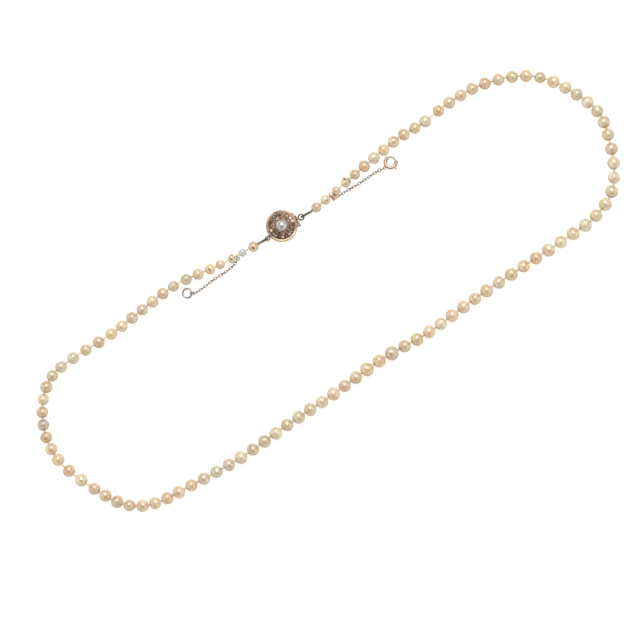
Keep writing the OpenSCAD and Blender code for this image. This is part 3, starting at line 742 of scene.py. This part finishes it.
def make_knot_tree():
    """Places a tight knot on every point. A point carries thread_way, knot_wide, knot_half and roll."""
    tree, given = new_geometry_tree("silk_knots", {"Width": KNOT_D, "Strand": 0.27 * MM})
    loop = get(tree, "GeometryNodeMeshCircle", {"Vertices": KNOT_STEPS, "Radius": 1.0})
    loop = get(tree, "GeometryNodeMeshToCurve", (loop,))
    turn = times(tree, get(tree, "GeometryNodeInputIndex"), TURN / KNOT_STEPS)
    double = times(tree, turn, 2.0)
    across = plus(tree, maths(tree, "SINE", turn), times(tree, maths(tree, "SINE", double), 2.0))
    wide = times(tree, maths(tree, "COSINE", double), 2.0)
    wide = minus(tree, maths(tree, "COSINE", turn), wide)
    deep = maths(tree, "SINE", times(tree, turn, 3.0))
    lobes = xyz(tree, across, wide, deep)
    reach = times(tree, minus(tree, given["Width"], given["Strand"]), 0.5)
    spot = vectors(tree, "SCALE", lobes, maths(tree, "DIVIDE", reach, 3.0))
    loop = get(tree, "GeometryNodeSetPosition", {"Geometry": loop, "Position": spot})
    knot = swept(tree, loop, wire_section(tree, given["Strand"], 6))
    way = aimed(tree, "thread_way", "Z")
    roll = xyz(tree, 0.0, 0.0, named(tree, "roll"))
    turned = get(tree, "FunctionNodeRotateRotation", (way, roll), rotation_space="LOCAL")
    wide = named(tree, "knot_wide")
    squat = xyz(tree, wide, wide, named(tree, "knot_half"))
    knots = placed(tree, given["Mesh"], knot, Rotation=turned, Scale=squat)
    end_tree(tree, given, knots, smooth=True)
    return tree


KNOT_TREE = make_knot_tree()

# %% [markdown]
# Silk that has been worn is tan, darker where skin and dust have got into it, and stained nearly black
# where it rubs on the metal of the clasp. It has no shine of its own, so it is rough, with a little sheen
# from the loose fibres.

# %% Silk finish
STAIN = (0.13, 0.09, 0.05)


def make_silk():
    """Worn tan silk with darker grime between its fibres."""
    material, tree, shader = new_finish("silk")
    place = object_place(tree)
    grime = use(
        tree, MOTTLE, Place=place, Scale=700.0, Amount=0.8, Base=(0.90, 0.66, 0.36),
        Second=(0.78, 0.50, 0.24), Third=(0.93, 0.75, 0.48),
    )
    colour = tinted(tree, carried(tree, "stained", "Fac"), grime["Color"], STAIN)
    fibres = noise(tree, place, 9000.0, 2.0)
    feed(
        tree, shader, Base_Color=colour, Roughness=0.75, Normal=bumped(tree, 0.5, 0.02, fibres),
        Sheen_Weight=0.3, Sheen_Roughness=0.5, Sheen_Tint=(0.9, 0.8, 0.6),
    )
    return material


SILK = make_silk()

# %% [markdown]
# The silk runs straight through each hole and from one mouth to the next. At both ends it goes into the
# wound wire that saves it from the clasp's rings, and three knots in a row close the loop. The knot that
# would lie in the left chain's ring is pushed back against its pearl, to leave the ring room.

# %% Silk and knots
THREAD_RING_KNOT = 2
PUSHED_BACK = 0.45 * MM
LEG = 1.35 * MM
SILK_STAINED = 0.9
KNOT_STAINED = 0.75


def silk_points():
    """The silk's way as places and the turn of its section at each."""
    places = []
    spun = []
    ends = [(knots[0] - LEG * strand[0][2], knots[0])]
    ends += [(before[1], after[0]) for before, after in zip(mouths, mouths[1:])]
    ends += [(knots[-1], knots[-1] + LEG * strand[-1][2])]
    for start, end in ends:
        for k in range(STEPS_IN_GAP + 1):
            share = k / STEPS_IN_GAP
            places.append(start + (end - start) * share)
            spun.append(TURN * share)
    return places, spun


places, spun = silk_points()
edges = [(k, k + 1) for k in range(len(places) - 1)]
at_end = STEPS_IN_GAP + 1
stained = [SILK_STAINED if k < at_end or k >= len(places) - at_end else 0.0 for k in range(len(places))]
silk_mesh = points_mesh("silk", places, edges, spun=spun, stained=stained)
silk = grow("silk_strand", silk_mesh, SILK_TREE, Finish=SILK)

knot_rows = {"thread_way": [], "knot_wide": [], "knot_half": [], "roll": [], "stained": []}
knot_places = []
END_KNOTS = (-0.34 * MM, 0.0, 0.34 * MM)
for i, knot in enumerate(knots):
    way = strand[min(i, len(strand) - 1)][2] + strand[max(i - 1, 0)][2]
    way = way / np.linalg.norm(way)
    inner = 0 < i < len(strand)
    gap = np.linalg.norm(mouths[i][0] - mouths[i - 1][1]) if inner else 0.7 * MM
    half = min(0.32 * MM, gap / 2 - 0.08 * MM)
    back = PUSHED_BACK if i == THREAD_RING_KNOT else 0.0
    for shift in (0.0,) if inner else END_KNOTS:
        knot_places.append(knot + (shift - back) * way)
        knot_rows["thread_way"].append(way)
        knot_rows["knot_wide"].append(1.0 if inner else 1.2)
        knot_rows["knot_half"].append(half / (0.25 * MM))
        knot_rows["stained"].append(0.0 if inner else KNOT_STAINED)
        knot_rows["roll"].append(rng.uniform(0, TURN))
tied = grow("silk_knots", points_mesh("knots", knot_places, **knot_rows), KNOT_TREE, Finish=SILK)
for piece in (silk, tied):
    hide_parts("thread")
    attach(piece, "necklace")

# %% [markdown]
# Gimp is a hair-thin wire wound into a spring. The silk passes through it where it goes round the clasp's
# ring, so the metal can't cut it. The tree takes the way of the loop, adds a point for every tenth of a
# turn, and moves each point out from the curve by the spring's radius, turning as it goes.

# %% Gimp tree
GIMP_WIRE = 0.17 * MM


def make_gimp_tree():
    """Winds a wire round the edges of a mesh."""
    sizes = {"Outer Width": 0.8 * MM, "Wire": GIMP_WIRE, "Pitch": 0.19 * MM}
    tree, given = new_geometry_tree("wound_wire", sizes)
    way = get(tree, "GeometryNodeMeshToCurve", (given["Mesh"],))
    step = maths(tree, "DIVIDE", given["Pitch"], 10.0)
    way = get(tree, "GeometryNodeResampleCurve", {"Curve": way, "Length": step}, mode="LENGTH")
    far = add(tree, "GeometryNodeSplineParameter").outputs["Length"]
    angle = times(tree, maths(tree, "DIVIDE", far, given["Pitch"]), TURN)
    normal = get(tree, "GeometryNodeInputNormal")
    ahead = get(tree, "GeometryNodeInputTangent")
    side = get(tree, "ShaderNodeVectorRotate", {"Vector": normal, "Axis": ahead, "Angle": angle})
    reach = times(tree, minus(tree, given["Outer Width"], given["Wire"]), 0.5)
    out = vectors(tree, "SCALE", side, reach)
    coil = get(tree, "GeometryNodeSetPosition", {"Geometry": way, "Offset": out})
    wire = swept(tree, coil, wire_section(tree, given["Wire"], 6), closed=True)
    end_tree(tree, given, wire, smooth=True)
    return tree


GIMP_TREE = make_gimp_tree()

# %% [markdown]
# Old gold and silver are never one even tone. A dull film lies where nothing rubs, the rubbed places are
# bright and finely scratched, and copper-rich gold shows redder clouds. The film colour is also laid on the
# flanks that turn away from straight up, as painted shade. One maker builds every metal of this piece from
# its clean colour, its film and how worn it is.

# %% Metals
EDGE_TINT = (0.55, 0.45, 0.38)
FLANK_SHADE_BAND = (0.8, 0.15)
JOINT_BAND = (0.45, 0.85)
FILM_BAND = (0.45, 0.75)
JOINT_FILM = 0.85
RUBBED_BRIGHT = 0.25


def make_metal(
    name, clean, warm, film_and_shade, film_share=0.5, gloss=0.22, scale=420.0, joint=None, flank_shade_share=0.9, painted_side_light_and_shade=None
):
    """A worn metal: its clean colour, a warmer cloud, a dark film with its share, and scratches.

    The film colour also lies on the flanks, as painted shade, and at the joints where the geometry carries
    them. One side may get a painted highlight or painted shade in a colour of its own: a middle, a level
    way, where it starts and ends in millimetres, and the colour.
    """
    material, tree, shader = new_finish(name)
    place = object_place(tree)
    clouds = use(tree, MOTTLE, Place=place, Scale=scale, Amount=0.7, Base=clean, Second=warm, Third=clean)
    old = between(tree, noise(tree, place, scale * 1.9, 4.0, 0.6), *FILM_BAND)
    normal = add(tree, "ShaderNodeNewGeometry").outputs["Normal"]
    upwards = add(tree, "ShaderNodeSeparateXYZ", (normal,)).outputs[2]
    # Painted shade: faces that turn away from straight up take the dark film colour.
    painted_flank_shade = times(tree, between(tree, upwards, *FLANK_SHADE_BAND), flank_shade_share)
    share = maths(tree, "MAXIMUM", times(tree, old, film_share), painted_flank_shade)
    if joint is not None:
        rubbed = between(tree, carried(tree, joint, "Fac"), *JOINT_BAND)
        share = maths(tree, "MAXIMUM", share, times(tree, rubbed, JOINT_FILM))
    scratch = use(tree, SCRATCHES, Place=place, Scale=2600.0, Sharpness=0.6)["Mask"]
    body = clouds["Color"]
    # One side may take a colour of its own: a painted highlight on the drum, painted shade on the band.
    if painted_side_light_and_shade is not None:
        middle, way, start, end, painted_side_colour = painted_side_light_and_shade
        side = vectors(tree, "DOT_PRODUCT", vectors(tree, "SUBTRACT", place, middle), way)
        body = tinted(tree, between(tree, side, start * MM, end * MM), body, painted_side_colour)
    colour = tinted(tree, share, body, film_and_shade)
    colour = tinted(tree, times(tree, scratch, RUBBED_BRIGHT), colour, body)
    rough = plus(tree, times(tree, share, 0.3), gloss)
    rough = plus(tree, rough, times(tree, scratch, 0.15))
    height = minus(tree, times(tree, noise(tree, place, 3000.0), 0.4), scratch)
    feed(
        tree, shader, Base_Color=colour, Roughness=rough, Metallic=1.0,
        Normal=bumped(tree, 0.2, 0.01, height), Specular_Tint=EDGE_TINT,
    )
    return material


ROSE_GOLD = make_metal("rose_gold", (0.62, 0.45, 0.35), (0.52, 0.32, 0.24), (0.07, 0.04, 0.027), 0.55, 0.22)
OLD_GOLD = make_metal("old_gold", (0.42, 0.32, 0.20), (0.34, 0.22, 0.13), (0.07, 0.04, 0.025), 0.6, 0.25)
# The tongue is nearly black: painted shade of the slot that it sits in.
TONGUE_GOLD_PAINTED_SHADE = make_metal(
    "tongue_gold_painted_shade", (0.28, 0.20, 0.12), (0.22, 0.14, 0.08), (0.04, 0.025, 0.015), 0.95, 0.35
)
CHAIN_GOLD = make_metal(
    "chain_gold", (0.42, 0.23, 0.14), (0.31, 0.14, 0.085), (0.04, 0.018, 0.012), 0.75, 0.22, 600.0, "joint"
)
JUMP_GOLD = make_metal(
    "jump_ring_gold", (0.40, 0.32, 0.26), (0.31, 0.22, 0.17), (0.055, 0.037, 0.028), 0.6, 0.2
)
BOLT_METAL = make_metal("bolt_metal", (0.50, 0.43, 0.33), (0.42, 0.34, 0.24), (0.07, 0.05, 0.03), 0.45)
DARK_SILVER = make_metal(
    "silver", (0.36, 0.22, 0.15), (0.27, 0.13, 0.08), (0.03, 0.018, 0.013), 0.95, 0.35, 1100.0
)
GIMP_METAL = make_metal(
    "gimp_wire", (0.27, 0.23, 0.16), (0.18, 0.14, 0.09), (0.035, 0.025, 0.018), 0.7, 0.3, 500.0
)

# %% [markdown]
# The two gimps are narrow upright loops. Each goes round the inner side of its ring and its legs close on
# the first knot. The same figures as in the CAD source give the way of the loop.

# %% Gimps
CLASP = (Vector(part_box("clasp_pearl")[0]) + Vector(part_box("clasp_pearl")[1])) / 2
CLASP_TURN = math.radians(25)
LOOP_Z = 1.85 * MM
CLOSE = math.radians(14)
GIMP_D = 0.88 * MM
GIMP_PLAY = 0.13 * MM
GIMP_STOP = 0.55 * MM
BEND_STEPS = 24


def clasp_place(turn, reach):
    """A place beside the clasp, by its turn from the tongue and its distance from the middle."""
    angle = CLASP_TURN + math.radians(turn)
    return np.array([CLASP.x + reach * math.cos(angle), CLASP.y + reach * math.sin(angle), LOOP_Z])


def gimp_way(ring, knot, ring_inner, ring_wire):
    """The middle line of a gimp: leg, bend round the ring's wire, leg."""
    towards = np.array([knot[0] - ring[0], knot[1] - ring[1], 0.0])
    towards /= np.linalg.norm(towards)
    up = np.array([0.0, 0.0, 1.0])
    start = ring + towards * (ring_inner + ring_wire) / 2
    bend = ring_wire / 2 + GIMP_PLAY + GIMP_D / 2
    reach = np.linalg.norm((knot - start)[:2]) - GIMP_STOP
    leg = (reach - bend * math.sin(CLOSE)) / math.cos(CLOSE)
    first = math.pi / 2 - CLOSE
    arc = [first + (math.pi + 2 * CLOSE) * k / BEND_STEPS for k in range(BEND_STEPS + 1)]
    flat = [(bend * math.cos(a), bend * math.sin(a)) for a in arc]
    ahead = (leg * math.cos(CLOSE), leg * math.sin(CLOSE))
    flat.insert(0, (flat[0][0] + ahead[0], flat[0][1] - ahead[1]))
    flat.append((flat[-1][0] + ahead[0], flat[-1][1] + ahead[1]))
    return [start + towards * x + up * y for x, y in flat]


# Where each ring is, its knot, the ring's inner width and its wire
GIMPS = {
    "gimp_left": (clasp_place(196, 6.85 * MM), knots[0], 1.12 * MM, 0.46 * MM),
    "gimp_right": (clasp_place(0, 7.65 * MM), knots[-1], 1.52 * MM, 0.5 * MM),
}
for node, sizes in GIMPS.items():
    way = gimp_way(*sizes)
    edges = [(k, k + 1) for k in range(len(way) - 1)]
    mesh = points_mesh(node, way, edges)
    coil = grow("coil_" + node, mesh, GIMP_TREE, Outer_Width=GIMP_D, Finish=GIMP_METAL)
    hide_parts(node)
    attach(coil, "necklace")

# %% [markdown]
# The safety chains are plain cable chain: every link is a bent wire, its ends soldered, and each stands
# across the next. Where two links rub, a dark film gathers. Each CAD link gives its middle and its
# three directions, and the tree places one smooth link there.

# %% Link tree
def make_link_tree():
    """Places an oval link on every point. A point carries link_way and link_face."""
    sizes = {"Length": 1.72 * MM, "Width": 1.06 * MM, "Wire": 0.24 * MM}
    tree, given = new_geometry_tree("chain_links", sizes)
    half_wire = times(tree, given["Wire"], 0.5)
    radius = minus(tree, times(tree, given["Width"], 0.5), half_wire)
    circle = {"Resolution": 20, "Radius": radius}
    loop = get(tree, "GeometryNodeCurvePrimitiveCircle", circle)
    spot = get(tree, "GeometryNodeInputPosition")
    sideways = get(tree, "ShaderNodeSeparateXYZ", (spot,))
    straight = times(tree, minus(tree, given["Length"], given["Width"]), 0.5)
    sign = between(tree, sideways, -0.01 * MM, 0.01 * MM, -1.0, 1.0, smooth=False)
    pulled = xyz(tree, times(tree, sign, straight), 0.0, 0.0)
    loop = get(tree, "GeometryNodeSetPosition", {"Geometry": loop, "Offset": pulled})
    link = swept(tree, loop, wire_section(tree, given["Wire"], 8))
    half_length = times(tree, given["Length"], 0.5)
    near_end = maths(tree, "DIVIDE", maths(tree, "ABSOLUTE", sideways), half_length)
    link = stored(tree, link, "joint", near_end)
    ways = {"Rotation": aimed(tree, "link_way", "X"), "Vector": named(tree, "link_face", "FLOAT_VECTOR")}
    turned = get(tree, "FunctionNodeAlignRotationToVector", ways, axis="Z", pivot_axis="X")
    end_tree(tree, given, placed(tree, given["Mesh"], link, Rotation=turned), smooth=True)
    return tree


LINK_TREE = make_link_tree()


def main_directions(points):
    """Middle, size along each main direction, and the directions, longest first."""
    middle = (points.max(0) + points.min(0)) / 2
    directions = np.linalg.svd(points - points.mean(0), full_matrices=False)[2]
    spans = (points - middle) @ directions.T
    middle = middle + directions.T @ ((spans.max(0) + spans.min(0)) / 2)
    return middle, spans.max(0) - spans.min(0), directions


for node in ("chain_left", "chain_right", "bolt_ring_link"):
    measured = [main_directions(points) for points, faces in loose_solids(node)]
    size = np.mean([spans for _, spans, _ in measured], axis=0)
    print(node, len(measured), "links, size in mm", np.round(size / MM, 3))
    ways = [directions[0] for _, _, directions in measured]
    faces = [directions[2] for _, _, directions in measured]
    mesh = points_mesh(node, [middle for middle, _, _ in measured], link_way=ways, link_face=faces)
    links = grow(
        "links_" + node, mesh, LINK_TREE, Length=float(size[0]), Width=float(size[1]), Wire=float(size[2]),
        Finish=CHAIN_GOLD,
    )
    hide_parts(node)
    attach(links, "necklace")

# %% [markdown]
# The clasp's stones are small rose cuts: a flat back, a low dome of facets, no depth to catch the light.
# Each one is its own shade of brown, grey, pink or olive; three cream ones are painted glints and one is
# ruby red. The CAD stone is the blank, so the cut stays the same, and every stone is turned and tipped a
# little, as hand-set stones are, so that they flash apart.

# %% Stone tree
def make_stone_tree():
    """Places the blank stone on every point. A point carries stone_turn and shade."""
    tree, given = new_geometry_tree("set_stones", {"Blank": "Object"})
    blank = add(tree, "GeometryNodeObjectInfo", {"Object": given["Blank"]}).outputs["Geometry"]
    turn = named(tree, "stone_turn", "FLOAT_VECTOR")
    turned = get(tree, "FunctionNodeEulerToRotation", (turn,))
    end_tree(tree, given, placed(tree, given["Mesh"], blank, Rotation=turned), smooth=False)
    return tree


STONE_TREE = make_stone_tree()


FLECK_BAND = (0.5, 0.62)
FLECK_SHARE = 0.55
FLECK_COLOUR = (0.10, 0.06, 0.045)


def make_stone_finish():
    """Glassy stones, each in its own shade, with dark flecks."""
    material, tree, shader = new_finish("rose_cuts")
    shade = carried(tree, "shade", "Color")
    place = object_place(tree)
    flecks = between(tree, noise(tree, place, 2600.0, 2.0), *FLECK_BAND)
    colour = tinted(tree, times(tree, flecks, FLECK_SHARE), shade, FLECK_COLOUR)
    feed(
        tree, shader, Base_Color=colour, Roughness=0.08, IOR=1.7, Coat_Weight=0.4, Coat_Roughness=0.03,
        Coat_IOR=1.8,
    )
    return material


ROSE_CUTS = make_stone_finish()
BROWN = (0.17, 0.08, 0.055)
DARK_BROWN = (0.06, 0.03, 0.02)
GREY = (0.36, 0.28, 0.21)
PINK = (0.66, 0.38, 0.30)
# Cream is a painted glint on the listed stones, and a random chip colour among the grains.
CREAM_STONE_AND_GLINT = (0.98, 0.86, 0.70)
OLIVE = (0.24, 0.20, 0.10)
RUBY = (0.60, 0.12, 0.14)
SHADES = [BROWN, BROWN, DARK_BROWN, GREY, PINK, PINK, OLIVE, OLIVE]
# The stones with a painted glint in cream, and the one ruby, by the place from the clasp's middle in
# millimetres
PAINTED_GLINTS_AND_RUBY = {
    "clasp_stones_outer": [
        ((2.6, 3.3), CREAM_STONE_AND_GLINT), ((3.8, 2.0), CREAM_STONE_AND_GLINT), ((-3.7, -1.2), CREAM_STONE_AND_GLINT),
    ],
    "clasp_stones_inner": [((1.6, -1.5), RUBY)],
}


def stone_blank(name, points, faces, middle, up):
    """One CAD stone, brought to the origin with its table up, as an object to copy from."""
    upright = Vector(up).rotation_difference(Vector((0, 0, 1))).to_matrix()
    mesh = bpy.data.meshes.new(name)
    mesh.from_pydata([upright @ Vector(p - middle) for p in points], [], faces)
    return in_scene(name, mesh)


for node in PAINTED_GLINTS_AND_RUBY:
    solids = loose_solids(node)
    measured = [main_directions(points) for points, faces in solids]
    ways = [m[2][2] if m[2][2][2] > 0 else -m[2][2] for m in measured]
    blank = stone_blank(node + "_blank", *solids[0], measured[0][0], ways[0])
    turns = []
    spots = [((m[0][0] - CLASP.x) / MM, (m[0][1] - CLASP.y) / MM) for m in measured]
    shades = [rng.choice(SHADES) for _ in spots]
    for place, shade in PAINTED_GLINTS_AND_RUBY[node]:
        nearest = min(range(len(spots)), key=lambda k: math.dist(place, spots[k]))
        shades[nearest] = shade
    for way in ways:
        tip = Vector(way).to_track_quat("Z", "Y").to_matrix()
        spin = Matrix.Rotation(rng.uniform(0, TURN), 3, "Z")
        turns.append((tip @ spin).to_euler())
    mesh = points_mesh(node, [m[0] for m in measured], stone_turn=[tuple(t) for t in turns], shade=shades)
    stones = grow("cut_" + node, mesh, STONE_TREE, Blank=blank, Finish=ROSE_CUTS)
    bpy.data.objects.remove(blank)
    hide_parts(node)
    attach(stones, "necklace")

# %% [markdown]
# Between the stones the silver is raised with a graver into small grains that hold the stones, and chips
# of stone fill what is left, which makes the clasp a dense mosaic. The script looks for free spots in a
# rough grid on the dome and the tree sets one small grain on each.

# %% Grains between the stones
GRAIN_STEP = 0.36 * MM
GRAIN_D = 0.34 * MM
GRAIN_PLAY = 0.06 * MM
GRAIN_RING = (2.3 * MM, 4.95 * MM)
ABOVE = 20 * MM


def make_grain_tree():
    """Places a low grain on every point. A point carries size and shade."""
    tree, given = new_geometry_tree("raised_grains", {"Width": GRAIN_D})
    sizes = {"Radius": times(tree, given["Width"], 0.5), "Subdivisions": 2}
    ball = get(tree, "GeometryNodeMeshIcoSphere", sizes)
    grains = placed(tree, given["Mesh"], ball, Scale=named(tree, "size"))
    end_tree(tree, given, grains, smooth=True)
    return tree


def free_spots(node, inner, outer, taken):
    """Places on a dome, between two radii from the clasp's middle, that keep clear of the stones."""
    dome = BVHTree.FromObject(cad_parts[node], bpy.context.evaluated_depsgraph_get())
    found = []
    reach = int(outer / GRAIN_STEP) + 1
    for across in range(-reach, reach + 1):
        for along in range(-reach, reach + 1):
            x = (across + 0.5 * (along % 2) + rng.uniform(-0.2, 0.2)) * GRAIN_STEP
            y = (along * 0.866 + rng.uniform(-0.2, 0.2)) * GRAIN_STEP
            if not inner < math.hypot(x, y) < outer:
                continue
            spot = Vector((CLASP.x + x, CLASP.y + y, ABOVE))
            if min((Vector((c[0], c[1], ABOVE)) - spot).length - r for c, r in taken) < GRAIN_PLAY:
                continue
            hit = dome.ray_cast(spot, Vector((0, 0, -1)))[0]
            if hit is not None:
                found.append(hit)
    return found


taken = []
for node in PAINTED_GLINTS_AND_RUBY:
    for points, faces in loose_solids(node):
        middle, spans, directions = main_directions(points)
        taken.append((middle, spans[0] / 2))
spots = free_spots("clasp_setting", *GRAIN_RING, taken)
CHIPS = [BROWN, DARK_BROWN, PINK, OLIVE, CREAM_STONE_AND_GLINT, GREY]
grain_shades = [rng.choice(CHIPS) for _ in spots]
grain_sizes = [rng.uniform(0.7, 1.15) for _ in spots]
grain_mesh = points_mesh("grains", spots, size=grain_sizes, shade=grain_shades)
grains = grow("raised_grains", grain_mesh, make_grain_tree(), Finish=ROSE_CUTS)
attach(grains, "necklace")
print("grains:", len(spots))

# %% [markdown]
# The other CAD parts have the right shape already, so they stay and only get a finish. A part is given its
# finish by its name. The drum has a painted highlight in pale gold at the lower right, and the band on the
# thread has painted shade on the side that is turned to the clasp.

# %% Finishes of the CAD parts
def compass(turn):
    """A level direction, by its turn from the X axis in degrees."""
    return (math.cos(math.radians(turn)), math.sin(math.radians(turn)), 0.0)


# The pale gold at the drum's lower right is a painted highlight.
CASE_GOLD = make_metal(
    "case_gold", (0.42, 0.29, 0.21), (0.34, 0.21, 0.15), (0.07, 0.04, 0.027), 0.66, 0.35, 500.0,
    flank_shade_share=0.7, painted_side_light_and_shade=(tuple(CLASP), compass(-68), 2.0, 4.6, (0.84, 0.64, 0.40)),
)
BAND = (0.7018 * MM, 34.2937 * MM, 1.6848 * MM)
# The dark end of the band, turned to the clasp, is painted shade.
BAIL_GOLD = make_metal(
    "bail_gold", (0.92, 0.62, 0.42), (0.84, 0.50, 0.33), (0.10, 0.05, 0.03), 0.35, 0.45,
    painted_side_light_and_shade=(BAND, compass(-137), 0.1, 0.5, (0.12, 0.07, 0.045)),
)
low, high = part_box("clasp_pearl")
GREY_NACRE = make_nacre("grey_nacre", LILAC_CLOUD, 0.2, 2.8, (0.30, 0.27, 0.24), (low + high) / 2)
FINISH_OF = {
    "clasp_pearl": GREY_NACRE,
    "clasp_box": CASE_GOLD,
    "clasp_tongue": TONGUE_GOLD_PAINTED_SHADE,
    "clasp_setting": DARK_SILVER,
    "thread_ring": OLD_GOLD,
    "hook_ring": OLD_GOLD,
    "end_ring_left": JUMP_GOLD,
    "jump_ring": JUMP_GOLD,
    "chain_bail": BAIL_GOLD,
    "end_ring_right": OLD_GOLD,
    "bolt_ring_case": ROSE_GOLD,
    "bolt_ring_bolt": BOLT_METAL,
}
for node, finish in FINISH_OF.items():
    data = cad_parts[node].data
    data.materials.clear()
    data.materials.append(finish)
print("finished CAD parts:", len(FINISH_OF))

# %% [markdown]
# The table is a wide white sheet. It glows by itself, as a light table does under small jewellery, which is
# why the picture has next to no shadow. A large soft lamp hangs above, a little behind the necklace. The
# room is bright in front and dimmer behind, and a dark patch of ceiling in front of the zenith gives the
# pearls the darker band below their highlight.

# %% Table and light
SCENE.view_settings.view_transform = "Standard"
SCENE.view_settings.look = "None"

TABLE_RADIUS = 3.0
TABLE_BELOW = 0.01 * MM
table_mesh = bpy.data.meshes.new("table")
bm = bmesh.new()
bmesh.ops.create_circle(bm, cap_ends=True, segments=64, radius=TABLE_RADIUS)
bmesh.ops.translate(bm, verts=bm.verts, vec=(0, 0, -TABLE_BELOW))
bm.to_mesh(table_mesh)
bm.free()
table = in_scene("table", table_mesh)
table_finish, tree, shader = new_finish("table_white")
feed(
    tree, shader, Base_Color=(0.30, 0.29, 0.27), Roughness=0.8, Specular_IOR_Level=0.1,
    Emission_Color=(1.0, 1.0, 1.0), Emission_Strength=0.81,
)
table_mesh.materials.append(table_finish)

LAMP_PLACE = Vector((0.0, 0.54, 0.84))
lamp_data = bpy.data.lights.new("soft_lamp", "AREA")
lamp_data.shape = "DISK"
lamp_data.size = 1.0
lamp_data.energy = 8.4
lamp_data.color = (0.97, 1.0, 1.02)
lamp = in_scene("soft_lamp", lamp_data)
lamp.location = LAMP_PLACE
lamp.rotation_euler = (-LAMP_PLACE).to_track_quat("-Z", "Y").to_euler()

HORIZON = (1.24, 1.20, 1.10)
BEHIND = (0.42, 0.46, 0.50)
DARK_FRONT = (0.05, 0.05, 0.05)
FRONT_TILT = math.radians(25)
WALL_BAND = (0.1, 0.6)
PATCH_BAND = (0.62, 0.93)
world = bpy.data.worlds.new("studio")
SCENE.world = world
world.use_nodes = True
tree = world.node_tree
tree.nodes.clear()
ray = add(tree, "ShaderNodeTexCoord").outputs["Generated"]
depth = add(tree, "ShaderNodeSeparateXYZ", (ray,)).outputs[1]
towards = vectors(tree, "DOT_PRODUCT", ray, (0.0, -math.sin(FRONT_TILT), math.cos(FRONT_TILT)))
walls = tinted(tree, between(tree, depth, *WALL_BAND), HORIZON, BEHIND)
sky = tinted(tree, between(tree, towards, *PATCH_BAND), walls, DARK_FRONT)
background = add(tree, "ShaderNodeBackground", (sky, 1.0))
out = add(tree, "ShaderNodeOutputWorld")
tree.links.new(background.outputs[0], out.inputs[0])
